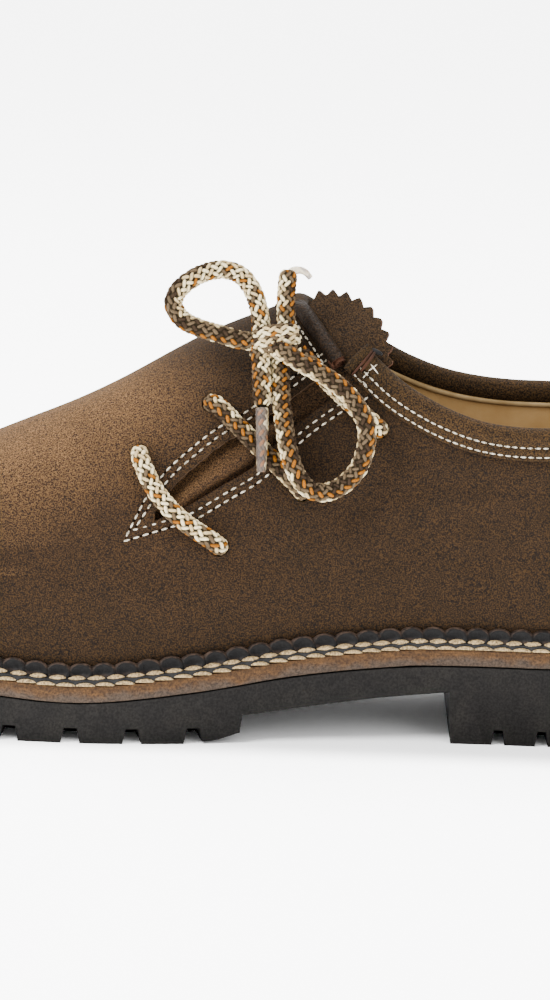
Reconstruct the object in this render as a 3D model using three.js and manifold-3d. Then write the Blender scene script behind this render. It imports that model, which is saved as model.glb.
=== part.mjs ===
// Haferl shoe, left foot, outer side towards -Y, toe towards -X, in millimetres.
// The origin lies on the floor under the heel's tread, HEEL_BACK in front of the back of the heel.
import * as THREE from 'three';
import { mergeVertices } from 'three/addons/utils/BufferGeometryUtils.js';
import Module from 'manifold-3d';

// Sizes of the sole, with the lean of the heel's breast as a share of the sole's length
const HEEL_LENGTH = 72;
const HEEL_BACK = 38;
const HEEL_RISE = 23.5;
const HEEL_BREAST = 0.003;
const MIDSOLE_THICKNESS = 5;
const INSOLE_THICKNESS = 3;
const LUG_DEPTH = 4.6;
const LUG_PITCH = 18.4;
const LUG_GAP = 5.6;
const HEEL_LUG_PITCH = 13.4;
const HEEL_LUG_GAP = 3.9;
const LUG_REACH = 14;
const LUG_TAPER = 0.3;
const GROOVE_WIDTH = 4;

// Sizes of the last and of the upper on it
const LAST_LENGTH = 286;
const BALL_WIDTH = 92;
const INSTEP_HEIGHT = 102.5;
const WALL_SWELL = 3.2;
const FLANGE = 6.5;
const WALL = 2.2;
const TONGUE_THICKNESS = 2;

// Sizes of the trim, with the angles between which the tongue's flap is pinked
const COLLAR_HEIGHT = 8.3;
const COLLAR_PROUD = 1.9;
const WELT_BEAD = 4.6;
const WELT_INSET = 0.7;
const PINK_PITCH = 4.3;
const PINK_DEPTH = 1.6;
const FLAP_RADIUS = 18.3;
const FLAP_START = -0.15;
const FLAP_END = 1.95;
const TONGUE_PAST_RIDGE = 8;

// Sizes of the lace
const LACE_DIAMETER = 6;
const AGLET_DIAMETER = 3.6;
const KNOT_LENGTH = 15;
const KNOT_HEIGHT = 9;
const KNOT_DEPTH = 10;

// Gap between pieces that meet
const CLEARANCE = 0.3;

// How finely the faces follow the curves
const STATIONS = 40;
const ROWS = 11;
const PROFILE_STEPS = 26;
const LACE_SIDES = 8;
const BAR_STEPS = 14;
const LOOP_STEPS = 20;
const END_STEPS = 3;
const AGLET_STEPS = 6;
const HOLE_SIDES = 12;
const KNOT_SIDES = 12;
const KNOT_ROWS = 8;
const HALVINGS = 24;

// Points nearer than this are one, and steps over which slopes are measured
const WELD = 1e-3;
const RIDGE_STEP = 0.05;
const SHORTEST_RUN = 0.2;
const WALL_STEP = 0.01;

const LATERAL = -1;
const MEDIAL = 1;
const FAR = 400;

// Rows run from the toe to the back of the heel.
// along, ridgeAlong: shares of the last's length, from the back of the heel
// lateral, medial, ridgeSide: shares of the ball's width, from the middle line
// ridgeUp: share of the instep's height, above the edge of the last's sole
// rise, spread: how far the wall goes up straight, and how broad the ridge is
// swell: share of the wall's swell, rim: share of the welt's flange
const LAST = [
  { along: 1.000, lateral: 0.065, medial: 0.065, ridgeAlong: 0.940, ridgeSide: 0.065,
    ridgeUp: 0.31, rise: 0.62, swell: 0.6, spread: 0.62, rim: 1.00 },
  { along: 0.986, lateral: -0.103, medial: 0.228, ridgeAlong: 0.935, ridgeSide: 0.065,
    ridgeUp: 0.32, rise: 0.62, swell: 0.7, spread: 0.62, rim: 1.00 },
  { along: 0.948, lateral: -0.249, medial: 0.345, ridgeAlong: 0.912, ridgeSide: 0.065,
    ridgeUp: 0.35, rise: 0.60, swell: 0.8, spread: 0.62, rim: 1.00 },
  { along: 0.878, lateral: -0.380, medial: 0.432, ridgeAlong: 0.862, ridgeSide: 0.060,
    ridgeUp: 0.42, rise: 0.58, swell: 0.9, spread: 0.62, rim: 1.00 },
  { along: 0.787, lateral: -0.462, medial: 0.474, ridgeAlong: 0.783, ridgeSide: 0.045,
    ridgeUp: 0.53, rise: 0.54, swell: 1.0, spread: 0.60, rim: 1.00 },
  { along: 0.692, lateral: -0.502, medial: 0.480, ridgeAlong: 0.692, ridgeSide: 0.035,
    ridgeUp: 0.665, rise: 0.48, swell: 1.2, spread: 0.57, rim: 1.00 },
  { along: 0.598, lateral: -0.503, medial: 0.442, ridgeAlong: 0.598, ridgeSide: 0.030,
    ridgeUp: 0.797, rise: 0.45, swell: 1.2, spread: 0.54, rim: 1.00 },
  { along: 0.500, lateral: -0.462, medial: 0.366, ridgeAlong: 0.500, ridgeSide: 0.035,
    ridgeUp: 0.925, rise: 0.43, swell: 1.0, spread: 0.50, rim: 0.95 },
  { along: 0.402, lateral: -0.402, medial: 0.302, ridgeAlong: 0.402, ridgeSide: 0.040,
    ridgeUp: 1.00, rise: 0.42, swell: 0.6, spread: 0.47, rim: 0.90 },
  { along: 0.304, lateral: -0.362, medial: 0.283, ridgeAlong: 0.304, ridgeSide: 0.030,
    ridgeUp: 1.10, rise: 0.40, swell: 0.5, spread: 0.60, rim: 0.85 },
  { along: 0.213, lateral: -0.348, medial: 0.304, ridgeAlong: 0.220, ridgeSide: 0.005,
    ridgeUp: 1.17, rise: 0.40, swell: 0.7, spread: 0.76, rim: 0.80 },
  { along: 0.122, lateral: -0.345, medial: 0.330, ridgeAlong: 0.157, ridgeSide: 0,
    ridgeUp: 1.20, rise: 0.38, swell: 1.0, spread: 0.83, rim: 0.77 },
  { along: 0.056, lateral: -0.296, medial: 0.292, ridgeAlong: 0.122, ridgeSide: 0,
    ridgeUp: 1.20, rise: 0.36, swell: 1.3, spread: 0.78, rim: 0.77 },
  { along: 0.014, lateral: -0.170, medial: 0.170, ridgeAlong: 0.108, ridgeSide: 0,
    ridgeUp: 1.20, rise: 0.36, swell: 1.3, spread: 0.74, rim: 0.77 },
  { along: 0.000, lateral: 0, medial: 0, ridgeAlong: 0.104, ridgeSide: 0,
    ridgeUp: 1.20, rise: 0.36, swell: 1.3, spread: 0.74, rim: 0.77 },
];

// Side profile of the rubber, from the heel to the toe.
// along: share of the sole's length, top and bottom: shares of the heel's rise
const SOLE_LENGTH = LAST_LENGTH + FLANGE * (LAST[0].rim + LAST[LAST.length - 1].rim);
const HEEL_SHARE = HEEL_LENGTH / SOLE_LENGTH;
const RUBBER_TOP = [
  { along: 0.000, top: 1.000 },
  { along: 0.245, top: 1.000 },
  { along: 0.305, top: 0.970 },
  { along: 0.400, top: 0.850 },
  { along: 0.500, top: 0.650 },
  { along: 0.610, top: 0.505 },
  { along: 0.700, top: 0.560 },
  { along: 0.800, top: 0.680 },
  { along: 0.900, top: 0.835 },
  { along: 1.000, top: 1.010 },
];
const RUBBER_BOTTOM = [
  { along: 0.000, bottom: 0.060 },
  { along: 0.012, bottom: 0 },
  { along: HEEL_SHARE, bottom: 0 },
  { along: HEEL_SHARE + HEEL_BREAST, bottom: 0.675 },
  { along: 0.320, bottom: 0.580 },
  { along: 0.400, bottom: 0.450 },
  { along: 0.452, bottom: 0.365 },
  { along: 0.454, bottom: 0.140 },
  { along: 0.475, bottom: 0.055 },
  { along: 0.505, bottom: 0 },
  { along: 0.682, bottom: 0 },
  { along: 0.800, bottom: 0.085 },
  { along: 0.900, bottom: 0.255 },
  { along: 1.000, bottom: 0.510 },
];

// Where the side lugs of forefoot and heel start, and the grooves across the forefoot's tread,
// in shares of the sole's length from the back of the heel
const FOREFOOT_LUGS = 0.500;
const HEEL_LUGS = 0.194;
const GROOVES = [0.548, 0.616, 0.684, 0.752, 0.820];

// Lines on the upper, each row a place seen from the side.
// along: share of the last's length from the back of the heel
// up: share of the instep's height above the heel's seat
const INSTEP_EDGE = [
  { along: 0.416, up: 0.999 },
  { along: 0.406, up: 0.965 },
  { along: 0.381, up: 0.887 },
  { along: 0.360, up: 0.814 },
];
const LATERAL_EDGE = [
  { along: 0.329, up: 0.828 },
  { along: 0.315, up: 0.792 },
  { along: 0.279, up: 0.727 },
  { along: 0.229, up: 0.670 },
  { along: 0.188, up: 0.650 },
  { along: 0.144, up: 0.650 },
  { along: 0.087, up: 0.667 },
  { along: 0.038, up: 0.697 },
  { along: -0.010, up: 0.722 },
];
const MEDIAL_EDGE = [
  { along: 0.416, up: 0.999 },
  { along: 0.406, up: 0.965 },
  { along: 0.374, up: 0.910 },
  { along: 0.339, up: 0.852 },
  { along: 0.297, up: 0.782 },
  { along: 0.248, up: 0.727 },
  { along: 0.196, up: 0.700 },
  { along: 0.145, up: 0.692 },
  { along: 0.087, up: 0.695 },
  { along: 0.038, up: 0.707 },
  { along: -0.010, up: 0.722 },
];
const SLIT_UPPER = [
  { along: 0.563, up: 0.331 },
  { along: 0.556, up: 0.350 },
  { along: 0.533, up: 0.444 },
  { along: 0.508, up: 0.510 },
  { along: 0.482, up: 0.568 },
  { along: 0.448, up: 0.623 },
  { along: 0.402, up: 0.721 },
  { along: 0.376, up: 0.780 },
  { along: 0.360, up: 0.814 },
  { along: 0.346, up: 0.880 },
];
const SLIT_LOWER = [
  { along: 0.516, up: 0.394 },
  { along: 0.484, up: 0.448 },
  { along: 0.448, up: 0.510 },
  { along: 0.411, up: 0.614 },
  { along: 0.371, up: 0.699 },
  { along: 0.346, up: 0.740 },
  { along: 0.329, up: 0.828 },
  { along: 0.326, up: 0.880 },
];
const TONGUE_EDGE = [
  { along: 0.591, up: 0.301 },
  { along: 0.563, up: 0.243 },
  { along: 0.479, up: 0.321 },
  { along: 0.423, up: 0.428 },
  { along: 0.360, up: 0.565 },
  { along: 0.318, up: 0.672 },
];
const TONGUE_BACK = [
  { along: 0.412, up: 0.887 },
  { along: 0.437, up: 0.789 },
  { along: 0.483, up: 0.682 },
  { along: 0.535, up: 0.575 },
  { along: 0.591, up: 0.419 },
];
const FLAP_CENTRE = { along: 0.373, up: 0.813 };
const HOLES = {
  front_upper: { along: 0.570, up: 0.526 },
  front_lower: { along: 0.483, up: 0.282 },
  middle_upper: { along: 0.497, up: 0.672 },
  middle_lower: { along: 0.399, up: 0.438 },
  top_upper: { along: 0.416, up: 0.815 },
  top_lower: { along: 0.322, up: 0.622 },
};

// Section of the welt from its rim to the wall.
// out: share of the flange, up: share of the bead's height
const WELT_SECTION = [
  { out: 1, up: 0 },
  { out: 1, up: 0.36 },
  { out: 0.46, up: 0.42 },
  { out: 0.36, up: 0.86 },
  { out: 0.2, up: 1 },
];

// Section of the collar.
// out: share of its thickness from the wall's inner face, down: share of its height from the edge
const COLLAR_SECTION = [
  { out: 0, down: 1 },
  { out: 0, down: 0.22 },
  { out: 0.15, down: 0.06 },
  { out: 0.42, down: 0 },
  { out: 0.72, down: 0.04 },
  { out: 0.93, down: 0.2 },
  { out: 1, down: 0.5 },
  { out: 0.92, down: 0.82 },
  { out: 0.76, down: 1 },
];

// Runs of the collar, in stations from the ridge of the instep: past the ridge, round the bend on
// the inner side, along the inner side, and along the outer side up to the slit
const COLLAR_PAST_RIDGE = 0.004;
const COLLAR_BEND = 0.05;
const COLLAR_INNER = 0.075;
const COLLAR_OUTER = 0.97;
const COLLAR_COUNTS = { instep: 6, bend: 5, inner: 18, outer: 16 };

// Routes of the free lace, each point x, y, z
const UPPER_LOOP = [
  [-98.7, -20.9, 117],
  [-102, -21.3, 117.4],
  [-107.4, -21.5, 118.9],
  [-113.4, -21.5, 120.4],
  [-118.9, -21, 122.9],
  [-121.6, -20, 127.1],
  [-120.4, -18.5, 130.8],
  [-116.7, -16.5, 134.1],
  [-112.4, -14.5, 136.1],
  [-107.3, -13, 136.9],
  [-102.4, -12.7, 135.6],
  [-99.1, -13.5, 132.4],
  [-97, -15.5, 128.5],
  [-95.9, -17.5, 124.7],
  [-95.4, -18.8, 121.6],
];
const LOWER_LOOP = [
  [-87.3, -27.9, 114.7],
  [-82.5, -30.7, 112.4],
  [-78, -32.3, 110.5],
  [-72.8, -34, 107.7],
  [-68.3, -35.5, 104],
  [-65.2, -36.6, 100.1],
  [-63.2, -37.4, 95.8],
  [-62.8, -37.6, 91.4],
  [-63.5, -37.4, 87.1],
  [-64.9, -36.8, 83],
  [-67.3, -36.8, 79.6],
  [-70.7, -37.3, 76.8],
  [-74.8, -38.9, 75.6],
  [-78.7, -40.3, 76.5],
  [-81.6, -41.1, 79],
  [-83.8, -40.9, 82.5],
  [-85.4, -39.4, 86.6],
  [-86.5, -36.9, 90.6],
  [-87.6, -33.1, 95.8],
  [-88.4, -29.2, 101.1],
  [-88.9, -25.6, 105.8],
  [-89.1, -22.3, 111.3],
];
const END_HANGING = [
  [-95.1, -23.6, 113.1],
  [-94.7, -26.2, 108.7],
  [-94.3, -29.3, 103.9],
  [-94.1, -32.2, 99.6],
];
const AGLET_HANGING = [
  [-94.1, -32.5, 98.9],
  [-93.8, -35.1, 93],
  [-93.7, -37.2, 86.8],
  [-93.6, -38.5, 81],
];
const END_RAISED = [
  [-87.9, -19, 121.3],
  [-88, -18.2, 124.8],
  [-88.2, -17, 129.1],
  [-88.1, -16, 132.9],
  [-87.6, -15.2, 135.5],
];
const AGLET_RAISED = [
  [-87.3, -15, 136.4],
  [-86.5, -14.6, 137.5],
  [-84.1, -13.6, 137.5],
  [-81, -12.6, 135.9],
];
const KNOT_PLACE = [-91.1, -20.5, 116.9];

// Lie of the crossings over the slit. at: share of the way between the two ends
// lift: height above the wall in shares of the lace's radius with its clearance
// bow: share of the crossing's bow to one side of the straight line
const CROSSING = [
  { at: 0, lift: -0.36, bow: 0 },
  { at: 0.03, lift: 0.5, bow: 0.1 },
  { at: 0.11, lift: 1.12, bow: 0.4 },
  { at: 0.3, lift: 1.1, bow: 0.9 },
  { at: 0.5, lift: 1.1, bow: 1 },
  { at: 0.7, lift: 1.1, bow: 0.75 },
  { at: 0.89, lift: 1.12, bow: 0.3 },
  { at: 0.97, lift: 0.5, bow: 0.1 },
  { at: 1, lift: -0.36, bow: 0 },
];
const TOP_CROSSING = [
  { at: 0, lift: -0.36, bow: 0 },
  { at: 0.04, lift: 0.5, bow: 0 },
  { at: 0.14, lift: 1.12, bow: 0 },
  { at: 0.4, lift: 1.2, bow: 0 },
  { at: 0.65, lift: 1.65, bow: 0 },
  { at: 0.85, lift: 1.75, bow: 0 },
  { at: 1, lift: 1.65, bow: 0 },
];
const FRONT_BOW = { along: 0.0094, up: -0.026 };
const NO_BOW = { along: 0, up: 0 };
const TOP_CROSSING_END = { along: 0.405, up: 0.799 };

const LAST_BACK = HEEL_BACK - FLANGE * LAST[LAST.length - 1].rim;
const MIDSOLE_RISE = CLEARANCE + MIDSOLE_THICKNESS;
const SEAT_RISE = HEEL_RISE + MIDSOLE_RISE + CLEARANCE;
const LACE_RADIUS = LACE_DIAMETER / 2;

const wasm = await Module();
wasm.setup();

// Shapes and solids

function bodyFromFaces(vertices, faces) {
  const positions = new Float32Array(vertices.length * 3);
  vertices.forEach((vertex, i) => vertex.toArray(positions, 3 * i));
  const geometry = new THREE.BufferGeometry();
  geometry.setAttribute('position', new THREE.BufferAttribute(positions, 3));
  geometry.setIndex(faces.flat());
  return solid(geometry);
}

function signedVolume(positions, triangles) {
  const a = new THREE.Vector3();
  const b = new THREE.Vector3();
  const c = new THREE.Vector3();
  let volume = 0;
  for (let i = 0; i < triangles.length; i += 3) {
    a.fromArray(positions, 3 * triangles[i]);
    b.fromArray(positions, 3 * triangles[i + 1]);
    c.fromArray(positions, 3 * triangles[i + 2]);
    volume += a.dot(b.cross(c)) / 6;
  }
  return volume;
}

function solid(geometry) {
  geometry.deleteAttribute('normal');
  geometry.deleteAttribute('uv');
  const merged = mergeVertices(geometry, WELD);
  const positions = merged.attributes.position.array;
  const triangles = [];
  for (let i = 0; i < merged.index.count; i += 3) {
    const [a, b, c] = merged.index.array.slice(i, i + 3);
    if (a !== b && b !== c && c !== a) {
      triangles.push([a, b, c]);
    }
  }
  const outward = signedVolume(positions, triangles.flat()) > 0;
  const faces = outward ? triangles : triangles.map(([a, b, c]) => [a, c, b]);
  return new wasm.Manifold(new wasm.Mesh({
    numProp: 3,
    vertProperties: Float32Array.from(positions),
    triVerts: Uint32Array.from(faces.flat()),
  }));
}

function geometryOf(body) {
  const mesh = body.getMesh();
  const geometry = new THREE.BufferGeometry();
  geometry.setAttribute('position', new THREE.BufferAttribute(mesh.vertProperties, 3));
  geometry.setIndex(new THREE.BufferAttribute(mesh.triVerts, 1));
  geometry.computeVertexNormals();
  return geometry;
}

function planPrism(outline, low, high) {
  const shape = new THREE.Shape(outline.map((point) => new THREE.Vector2(point.x, point.y)));
  const geometry = new THREE.ExtrudeGeometry(shape, { depth: high - low, bevelEnabled: false });
  geometry.translate(0, 0, low);
  return solid(geometry);
}

function sidePrism(profile, low, high) {
  const shape = new THREE.Shape(profile.map(({ x, z }) => new THREE.Vector2(x, z)));
  const geometry = new THREE.ExtrudeGeometry(shape, { depth: high - low, bevelEnabled: false });
  geometry.rotateX(Math.PI / 2);
  geometry.translate(0, high, 0);
  return solid(geometry);
}

// Joins rings of points into one closed body: a loop of rings, or with caps a bar that they close.
function bodyFromRings(rings, caps = []) {
  const size = rings[0].length;
  const faces = [];
  const isLoop = caps.length === 0;
  const spans = isLoop ? rings.length : rings.length - 1;
  for (let i = 0; i < spans; i += 1) {
    const here = i * size;
    const next = ((i + 1) % rings.length) * size;
    for (let j = 0; j < size; j += 1) {
      const k = (j + 1) % size;
      faces.push([here + j, next + j, next + k], [here + j, next + k, here + k]);
    }
  }
  const last = (rings.length - 1) * size;
  for (const [a, b, c] of caps) {
    faces.push([a, b, c], [last + c, last + b, last + a]);
  }
  return bodyFromFaces(rings.flat(), faces);
}

function tube(points, radius, steps) {
  const angles = Array.from({ length: LACE_SIDES }, (_, i) => (2 * Math.PI * i) / LACE_SIDES);
  const circle = new THREE.Shape(
    angles.map((angle) => new THREE.Vector2(radius * Math.cos(angle), radius * Math.sin(angle))),
  );
  const path = new THREE.CatmullRomCurve3(points, false, 'centripetal');
  return solid(new THREE.ExtrudeGeometry(circle, { steps, extrudePath: path }));
}

// Curves of the sole and the last

function curveThrough(rows, key) {
  const points = rows.map((row) => new THREE.Vector2(row.along, row[key]));
  return new THREE.SplineCurve(points);
}

// Finds by halving the share from 0 to 1 at which a test stops being true.
function turningShare(test) {
  let low = 0;
  let high = 1;
  for (let i = 0; i < HALVINGS; i += 1) {
    const middle = (low + high) / 2;
    if (test(middle)) {
      low = middle;
    } else {
      high = middle;
    }
  }
  return (low + high) / 2;
}

// Value of a curve at a share of the length, where along grows or shrinks all the way.
function valueAt(curve, along) {
  const points = curve.points;
  const grows = points[points.length - 1].x > points[0].x;
  const share = turningShare((middle) => curve.getPoint(middle).x < along === grows);
  return curve.getPoint(share).y;
}

const rubberTopCurve = curveThrough(RUBBER_TOP, 'top');

function rubberTop(x) {
  return HEEL_RISE * valueAt(rubberTopCurve, (HEEL_BACK - x) / SOLE_LENGTH);
}

function footbed(x) {
  return rubberTop(x) + MIDSOLE_RISE + CLEARANCE;
}

function lastX(along) {
  return LAST_BACK - along * LAST_LENGTH;
}

function soleX(along) {
  return HEEL_BACK - along * SOLE_LENGTH;
}

function sidePlace({ along, up }) {
  return { x: lastX(along), z: SEAT_RISE + up * INSTEP_HEIGHT };
}

const edgeLoop = new THREE.CatmullRomCurve3(
  [
    ...LAST.map((row) => new THREE.Vector3(lastX(row.along), row.lateral * BALL_WIDTH, 0)),
    ...LAST.slice(1, -1).reverse().map(
      (row) => new THREE.Vector3(lastX(row.along), row.medial * BALL_WIDTH, 0),
    ),
  ],
  true,
  'centripetal',
);
const ridgeCurve = new THREE.CatmullRomCurve3(
  LAST.map((row) => new THREE.Vector3(
    lastX(row.ridgeAlong), row.ridgeSide * BALL_WIDTH, row.ridgeUp * INSTEP_HEIGHT,
  )),
  false,
  'centripetal',
);
const wallCurve = new THREE.CatmullRomCurve3(
  LAST.map((row) => new THREE.Vector3(row.rise, row.swell, row.spread)),
  false,
  'catmullrom',
);
const rimCurve = new THREE.CatmullRomCurve3(
  LAST.map((row) => new THREE.Vector3(row.rim, 0, 0)),
  false,
  'catmullrom',
);

// Point of the last's edge in plan at a station from 0 at the toe to 1 at the heel, moved outwards.
function edgePoint(station, side, outwards) {
  const share = side === LATERAL ? station / 2 : (1 - station / 2) % 1;
  const point = edgeLoop.getPoint(share);
  const tangent = edgeLoop.getTangent(share);
  const normal = new THREE.Vector3(tangent.y, -tangent.x, 0).normalize();
  return point.addScaledVector(normal, outwards);
}

// Point of the ridge that the walls rise to, with its slope along the shoe.
function ridgePoint(station, inset) {
  const point = ridgeCurve.getPoint(station);
  const before = ridgeCurve.getPoint(Math.max(0, station - RIDGE_STEP));
  const after = ridgeCurve.getPoint(Math.min(1, station + RIDGE_STEP));
  const baseBefore = footbed(before.x);
  const baseAfter = footbed(after.x);
  const run = after.x - before.x;
  const slope = run > SHORTEST_RUN ? (after.z + baseAfter - before.z - baseBefore) / run : 0;
  point.z += footbed(point.x) - inset * Math.hypot(1, slope);
  return { point, slope };
}

// Point of the last's wall: row 0 on the edge of the sole, 1 on the ridge, inset into the wall.
function lastPoint(station, side, row, inset) {
  const edge = edgePoint(station, side, -inset);
  edge.z = footbed(edgePoint(station, side, 0).x);
  const { point: ridge, slope } = ridgePoint(station, inset);
  const wall = wallCurve.getPoint(station);
  const outward = new THREE.Vector3(edge.x - ridge.x, edge.y - ridge.y, 0);
  const width = outward.length();
  outward.normalize();
  const height = ridge.z - edge.z;
  const lower = edge.clone().addScaledVector(outward, wall.y * WALL_SWELL);
  lower.z += wall.x * height;
  const upper = ridge.clone().addScaledVector(outward, wall.z * width);
  upper.z += Math.min(slope, 1) * outward.x * wall.z * width;
  return new THREE.CubicBezierCurve3(edge, lower, upper, ridge).getPoint(row);
}

// The last as a body, inset by part of the wall, with a skirt that hangs below its edge.
function lastBody(inset, skirt) {
  const vertices = [];
  const faces = [];
  const rows = ROWS + 2;
  const starts = [];
  for (const side of [LATERAL, MEDIAL]) {
    const start = vertices.length;
    starts.push(start);
    for (let i = 0; i <= STATIONS; i += 1) {
      const station = i / STATIONS;
      const foot = lastPoint(station, side, 0, inset);
      foot.z -= skirt;
      vertices.push(foot);
      for (let j = 0; j <= ROWS; j += 1) {
        vertices.push(lastPoint(station, side, j / ROWS, inset));
      }
    }
    for (let i = 0; i < STATIONS; i += 1) {
      for (let j = 0; j < rows - 1; j += 1) {
        const a = start + i * rows + j;
        const b = a + rows;
        const quad = side === LATERAL ? [a, b, b + 1, a + 1] : [a, a + 1, b + 1, b];
        faces.push([quad[0], quad[1], quad[2]], [quad[0], quad[2], quad[3]]);
      }
    }
  }
  for (let i = 0; i < STATIONS; i += 1) {
    const a = starts[0] + i * rows;
    const b = starts[1] + i * rows;
    faces.push([a, b, b + rows], [a, b + rows, a + rows]);
  }
  return bodyFromFaces(vertices, faces);
}

// Finds the station and the row of the wall that lie at x and z, seen from the side.
function wallStation({ x, z }, side) {
  const rowAt = (station) => turningShare((row) => lastPoint(station, side, row, 0).z < z);
  const station = turningShare((middle) => lastPoint(middle, side, rowAt(middle), 0).x < x);
  return { station, row: rowAt(station) };
}

function wallPlace(place, side) {
  const { station, row } = wallStation(sidePlace(place), side);
  return wallFrame(station, side, row);
}

function wallFrame(station, side, row) {
  const low = Math.min(row, 1 - WALL_STEP);
  const point = lastPoint(station, side, row, 0);
  const along = lastPoint(Math.min(1, station + WALL_STEP), side, low, 0)
    .sub(lastPoint(Math.max(0, station - WALL_STEP), side, low, 0));
  const up = lastPoint(station, side, low + WALL_STEP, 0)
    .sub(lastPoint(station, side, low, 0));
  const normal = along.cross(up).multiplyScalar(-side).normalize();
  return { point, normal };
}

function lifted(place, side, lift) {
  const { point, normal } = wallPlace(place, side);
  return point.addScaledVector(normal, lift);
}

// Sole

// Calls a function at each station round the last, from the toe by the outer side to the heel.
function aroundTheLast(placeAt) {
  const places = [];
  for (let i = 0; i < 2 * STATIONS; i += 1) {
    const side = i <= STATIONS ? LATERAL : MEDIAL;
    const station = i <= STATIONS ? i / STATIONS : 2 - i / STATIONS;
    places.push(placeAt(station, side));
  }
  return places;
}

function rimWidth(station) {
  return rimCurve.getPoint(station).x * FLANGE;
}

function soleOutline() {
  return aroundTheLast((station, side) => edgePoint(station, side, rimWidth(station)));
}

function profileLine(height) {
  const points = [];
  for (let i = -1; i <= PROFILE_STEPS + 1; i += 1) {
    const x = soleX(i / PROFILE_STEPS);
    points.push({ x, z: height(x) });
  }
  return points;
}

function layer(outline, low, high) {
  const top = profileLine(high);
  const bottom = profileLine(low).reverse();
  return planPrism(outline, -FAR, FAR).intersect(sidePrism([...top, ...bottom], -FAR, FAR));
}

// Place on the sole's edge at a distance along it, with the direction out of the sole.
function placeOnEdge(outline, distance) {
  let left = distance;
  let i = 0;
  const next = () => outline[(i + 1) % outline.length];
  while (left > outline[i].distanceTo(next())) {
    left -= outline[i].distanceTo(next());
    i = (i + 1) % outline.length;
  }
  const here = outline[i];
  const point = here.clone().lerp(next(), left / here.distanceTo(next()));
  const out = new THREE.Vector3(next().y - here.y, here.x - next().x, 0).normalize();
  return { point, out };
}

function edgeLength(outline) {
  return outline.reduce(
    (sum, point, i) => sum + point.distanceTo(outline[(i + 1) % outline.length]), 0,
  );
}

// Distance along the sole's edge, from the toe by the outer side, to where one side reaches x.
function edgeDistance(outline, side, x) {
  const half = outline.length / 2;
  const first = side === LATERAL ? 0 : half;
  const i = outline.findIndex((point, j) => (
    j >= first && (point.x - x) * (outline[(j + 1) % outline.length].x - x) <= 0
  ));
  const part = (x - outline[i].x) / (outline[(i + 1) % outline.length].x - outline[i].x);
  const steps = outline.slice(0, i).map((point, j) => point.distanceTo(outline[j + 1]));
  const before = steps.reduce((sum, step) => sum + step, 0);
  return before + part * outline[i].distanceTo(outline[(i + 1) % outline.length]);
}

// Wedge that cuts a gap between two lugs, as wide as the gap at the floor and narrower at its roof.
function lugCutter({ point, out }, gap, floor) {
  const foot = gap * (1 + LUG_TAPER) / 2;
  const roof = gap * (1 - LUG_TAPER) / 2;
  const shape = new THREE.Shape([
    new THREE.Vector2(-foot, -LUG_DEPTH),
    new THREE.Vector2(foot, -LUG_DEPTH),
    new THREE.Vector2(roof, LUG_DEPTH),
    new THREE.Vector2(-roof, LUG_DEPTH),
  ]);
  const geometry = new THREE.ExtrudeGeometry(shape, { depth: 2 * LUG_REACH, bevelEnabled: false });
  geometry.translate(0, 0, -LUG_REACH);
  geometry.rotateX(Math.PI / 2);
  geometry.rotateZ(Math.atan2(out.y, out.x) + Math.PI / 2);
  geometry.translate(point.x, point.y, floor);
  return solid(geometry);
}

function treadHeight(x) {
  const share = (HEEL_BACK - x) / SOLE_LENGTH;
  const next = RUBBER_BOTTOM.findIndex((row) => row.along >= share);
  const after = RUBBER_BOTTOM[Math.max(1, next)];
  const before = RUBBER_BOTTOM[Math.max(1, next) - 1];
  const part = (share - before.along) / (after.along - before.along);
  return HEEL_RISE * (before.bottom + part * (after.bottom - before.bottom));
}

// Cutters for the gaps between lugs, spread evenly from one distance along the edge to another.
function lugCutters(outline, from, to, pitch, gap) {
  const count = Math.round((to - from) / pitch);
  return Array.from({ length: count + 1 }, (_, i) => {
    const place = placeOnEdge(outline, from + ((to - from) * i) / count);
    return lugCutter(place, gap, Math.max(0, treadHeight(place.point.x)));
  });
}

// Grooves across the middle of the forefoot's tread, where the rows of lugs meet.
function grooveCutter(along) {
  const x = soleX(along);
  const geometry = new THREE.BoxGeometry(GROOVE_WIDTH, BALL_WIDTH / 2, 2 * LUG_DEPTH);
  geometry.translate(x, 0, treadHeight(x));
  return solid(geometry);
}

function makeOutsole() {
  const outline = soleOutline();
  const top = profileLine(rubberTop);
  const bottom = RUBBER_BOTTOM.map((row) => ({ x: soleX(row.along), z: row.bottom * HEEL_RISE }));
  bottom.unshift({ x: top[0].x, z: bottom[0].z });
  bottom.push({ x: top[top.length - 1].x, z: bottom[bottom.length - 1].z });
  const body = planPrism(outline, -FAR, FAR)
    .intersect(sidePrism([...top, ...bottom.reverse()], -FAR, FAR));
  const cutters = [
    ...lugCutters(
      outline,
      edgeDistance(outline, MEDIAL, soleX(FOREFOOT_LUGS)),
      edgeLength(outline) + edgeDistance(outline, LATERAL, soleX(FOREFOOT_LUGS)),
      LUG_PITCH,
      LUG_GAP,
    ),
    ...lugCutters(
      outline,
      edgeDistance(outline, LATERAL, soleX(HEEL_LUGS)),
      edgeDistance(outline, MEDIAL, soleX(HEEL_LUGS)),
      HEEL_LUG_PITCH,
      HEEL_LUG_GAP,
    ),
    ...GROOVES.map(grooveCutter),
  ];
  return cutters.reduce((rest, cutter) => rest.subtract(cutter), body);
}

function makeMidsole() {
  return layer(
    soleOutline(),
    (x) => rubberTop(x) + CLEARANCE,
    (x) => rubberTop(x) + MIDSOLE_RISE,
  );
}

function makeInsole() {
  const outline = aroundTheLast((station, side) => edgePoint(station, side, -WALL - CLEARANCE));
  return layer(outline, footbed, (x) => footbed(x) + INSOLE_THICKNESS);
}

// Place of the wall at a height above its edge, as the welt meets it.
function besideWall(station, side, height) {
  const base = lastPoint(station, side, 0, 0).z;
  const row = turningShare(
    (middle) => lastPoint(station, side, middle, -CLEARANCE).z < base + height,
  );
  return lastPoint(station, side, row, -CLEARANCE);
}

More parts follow.
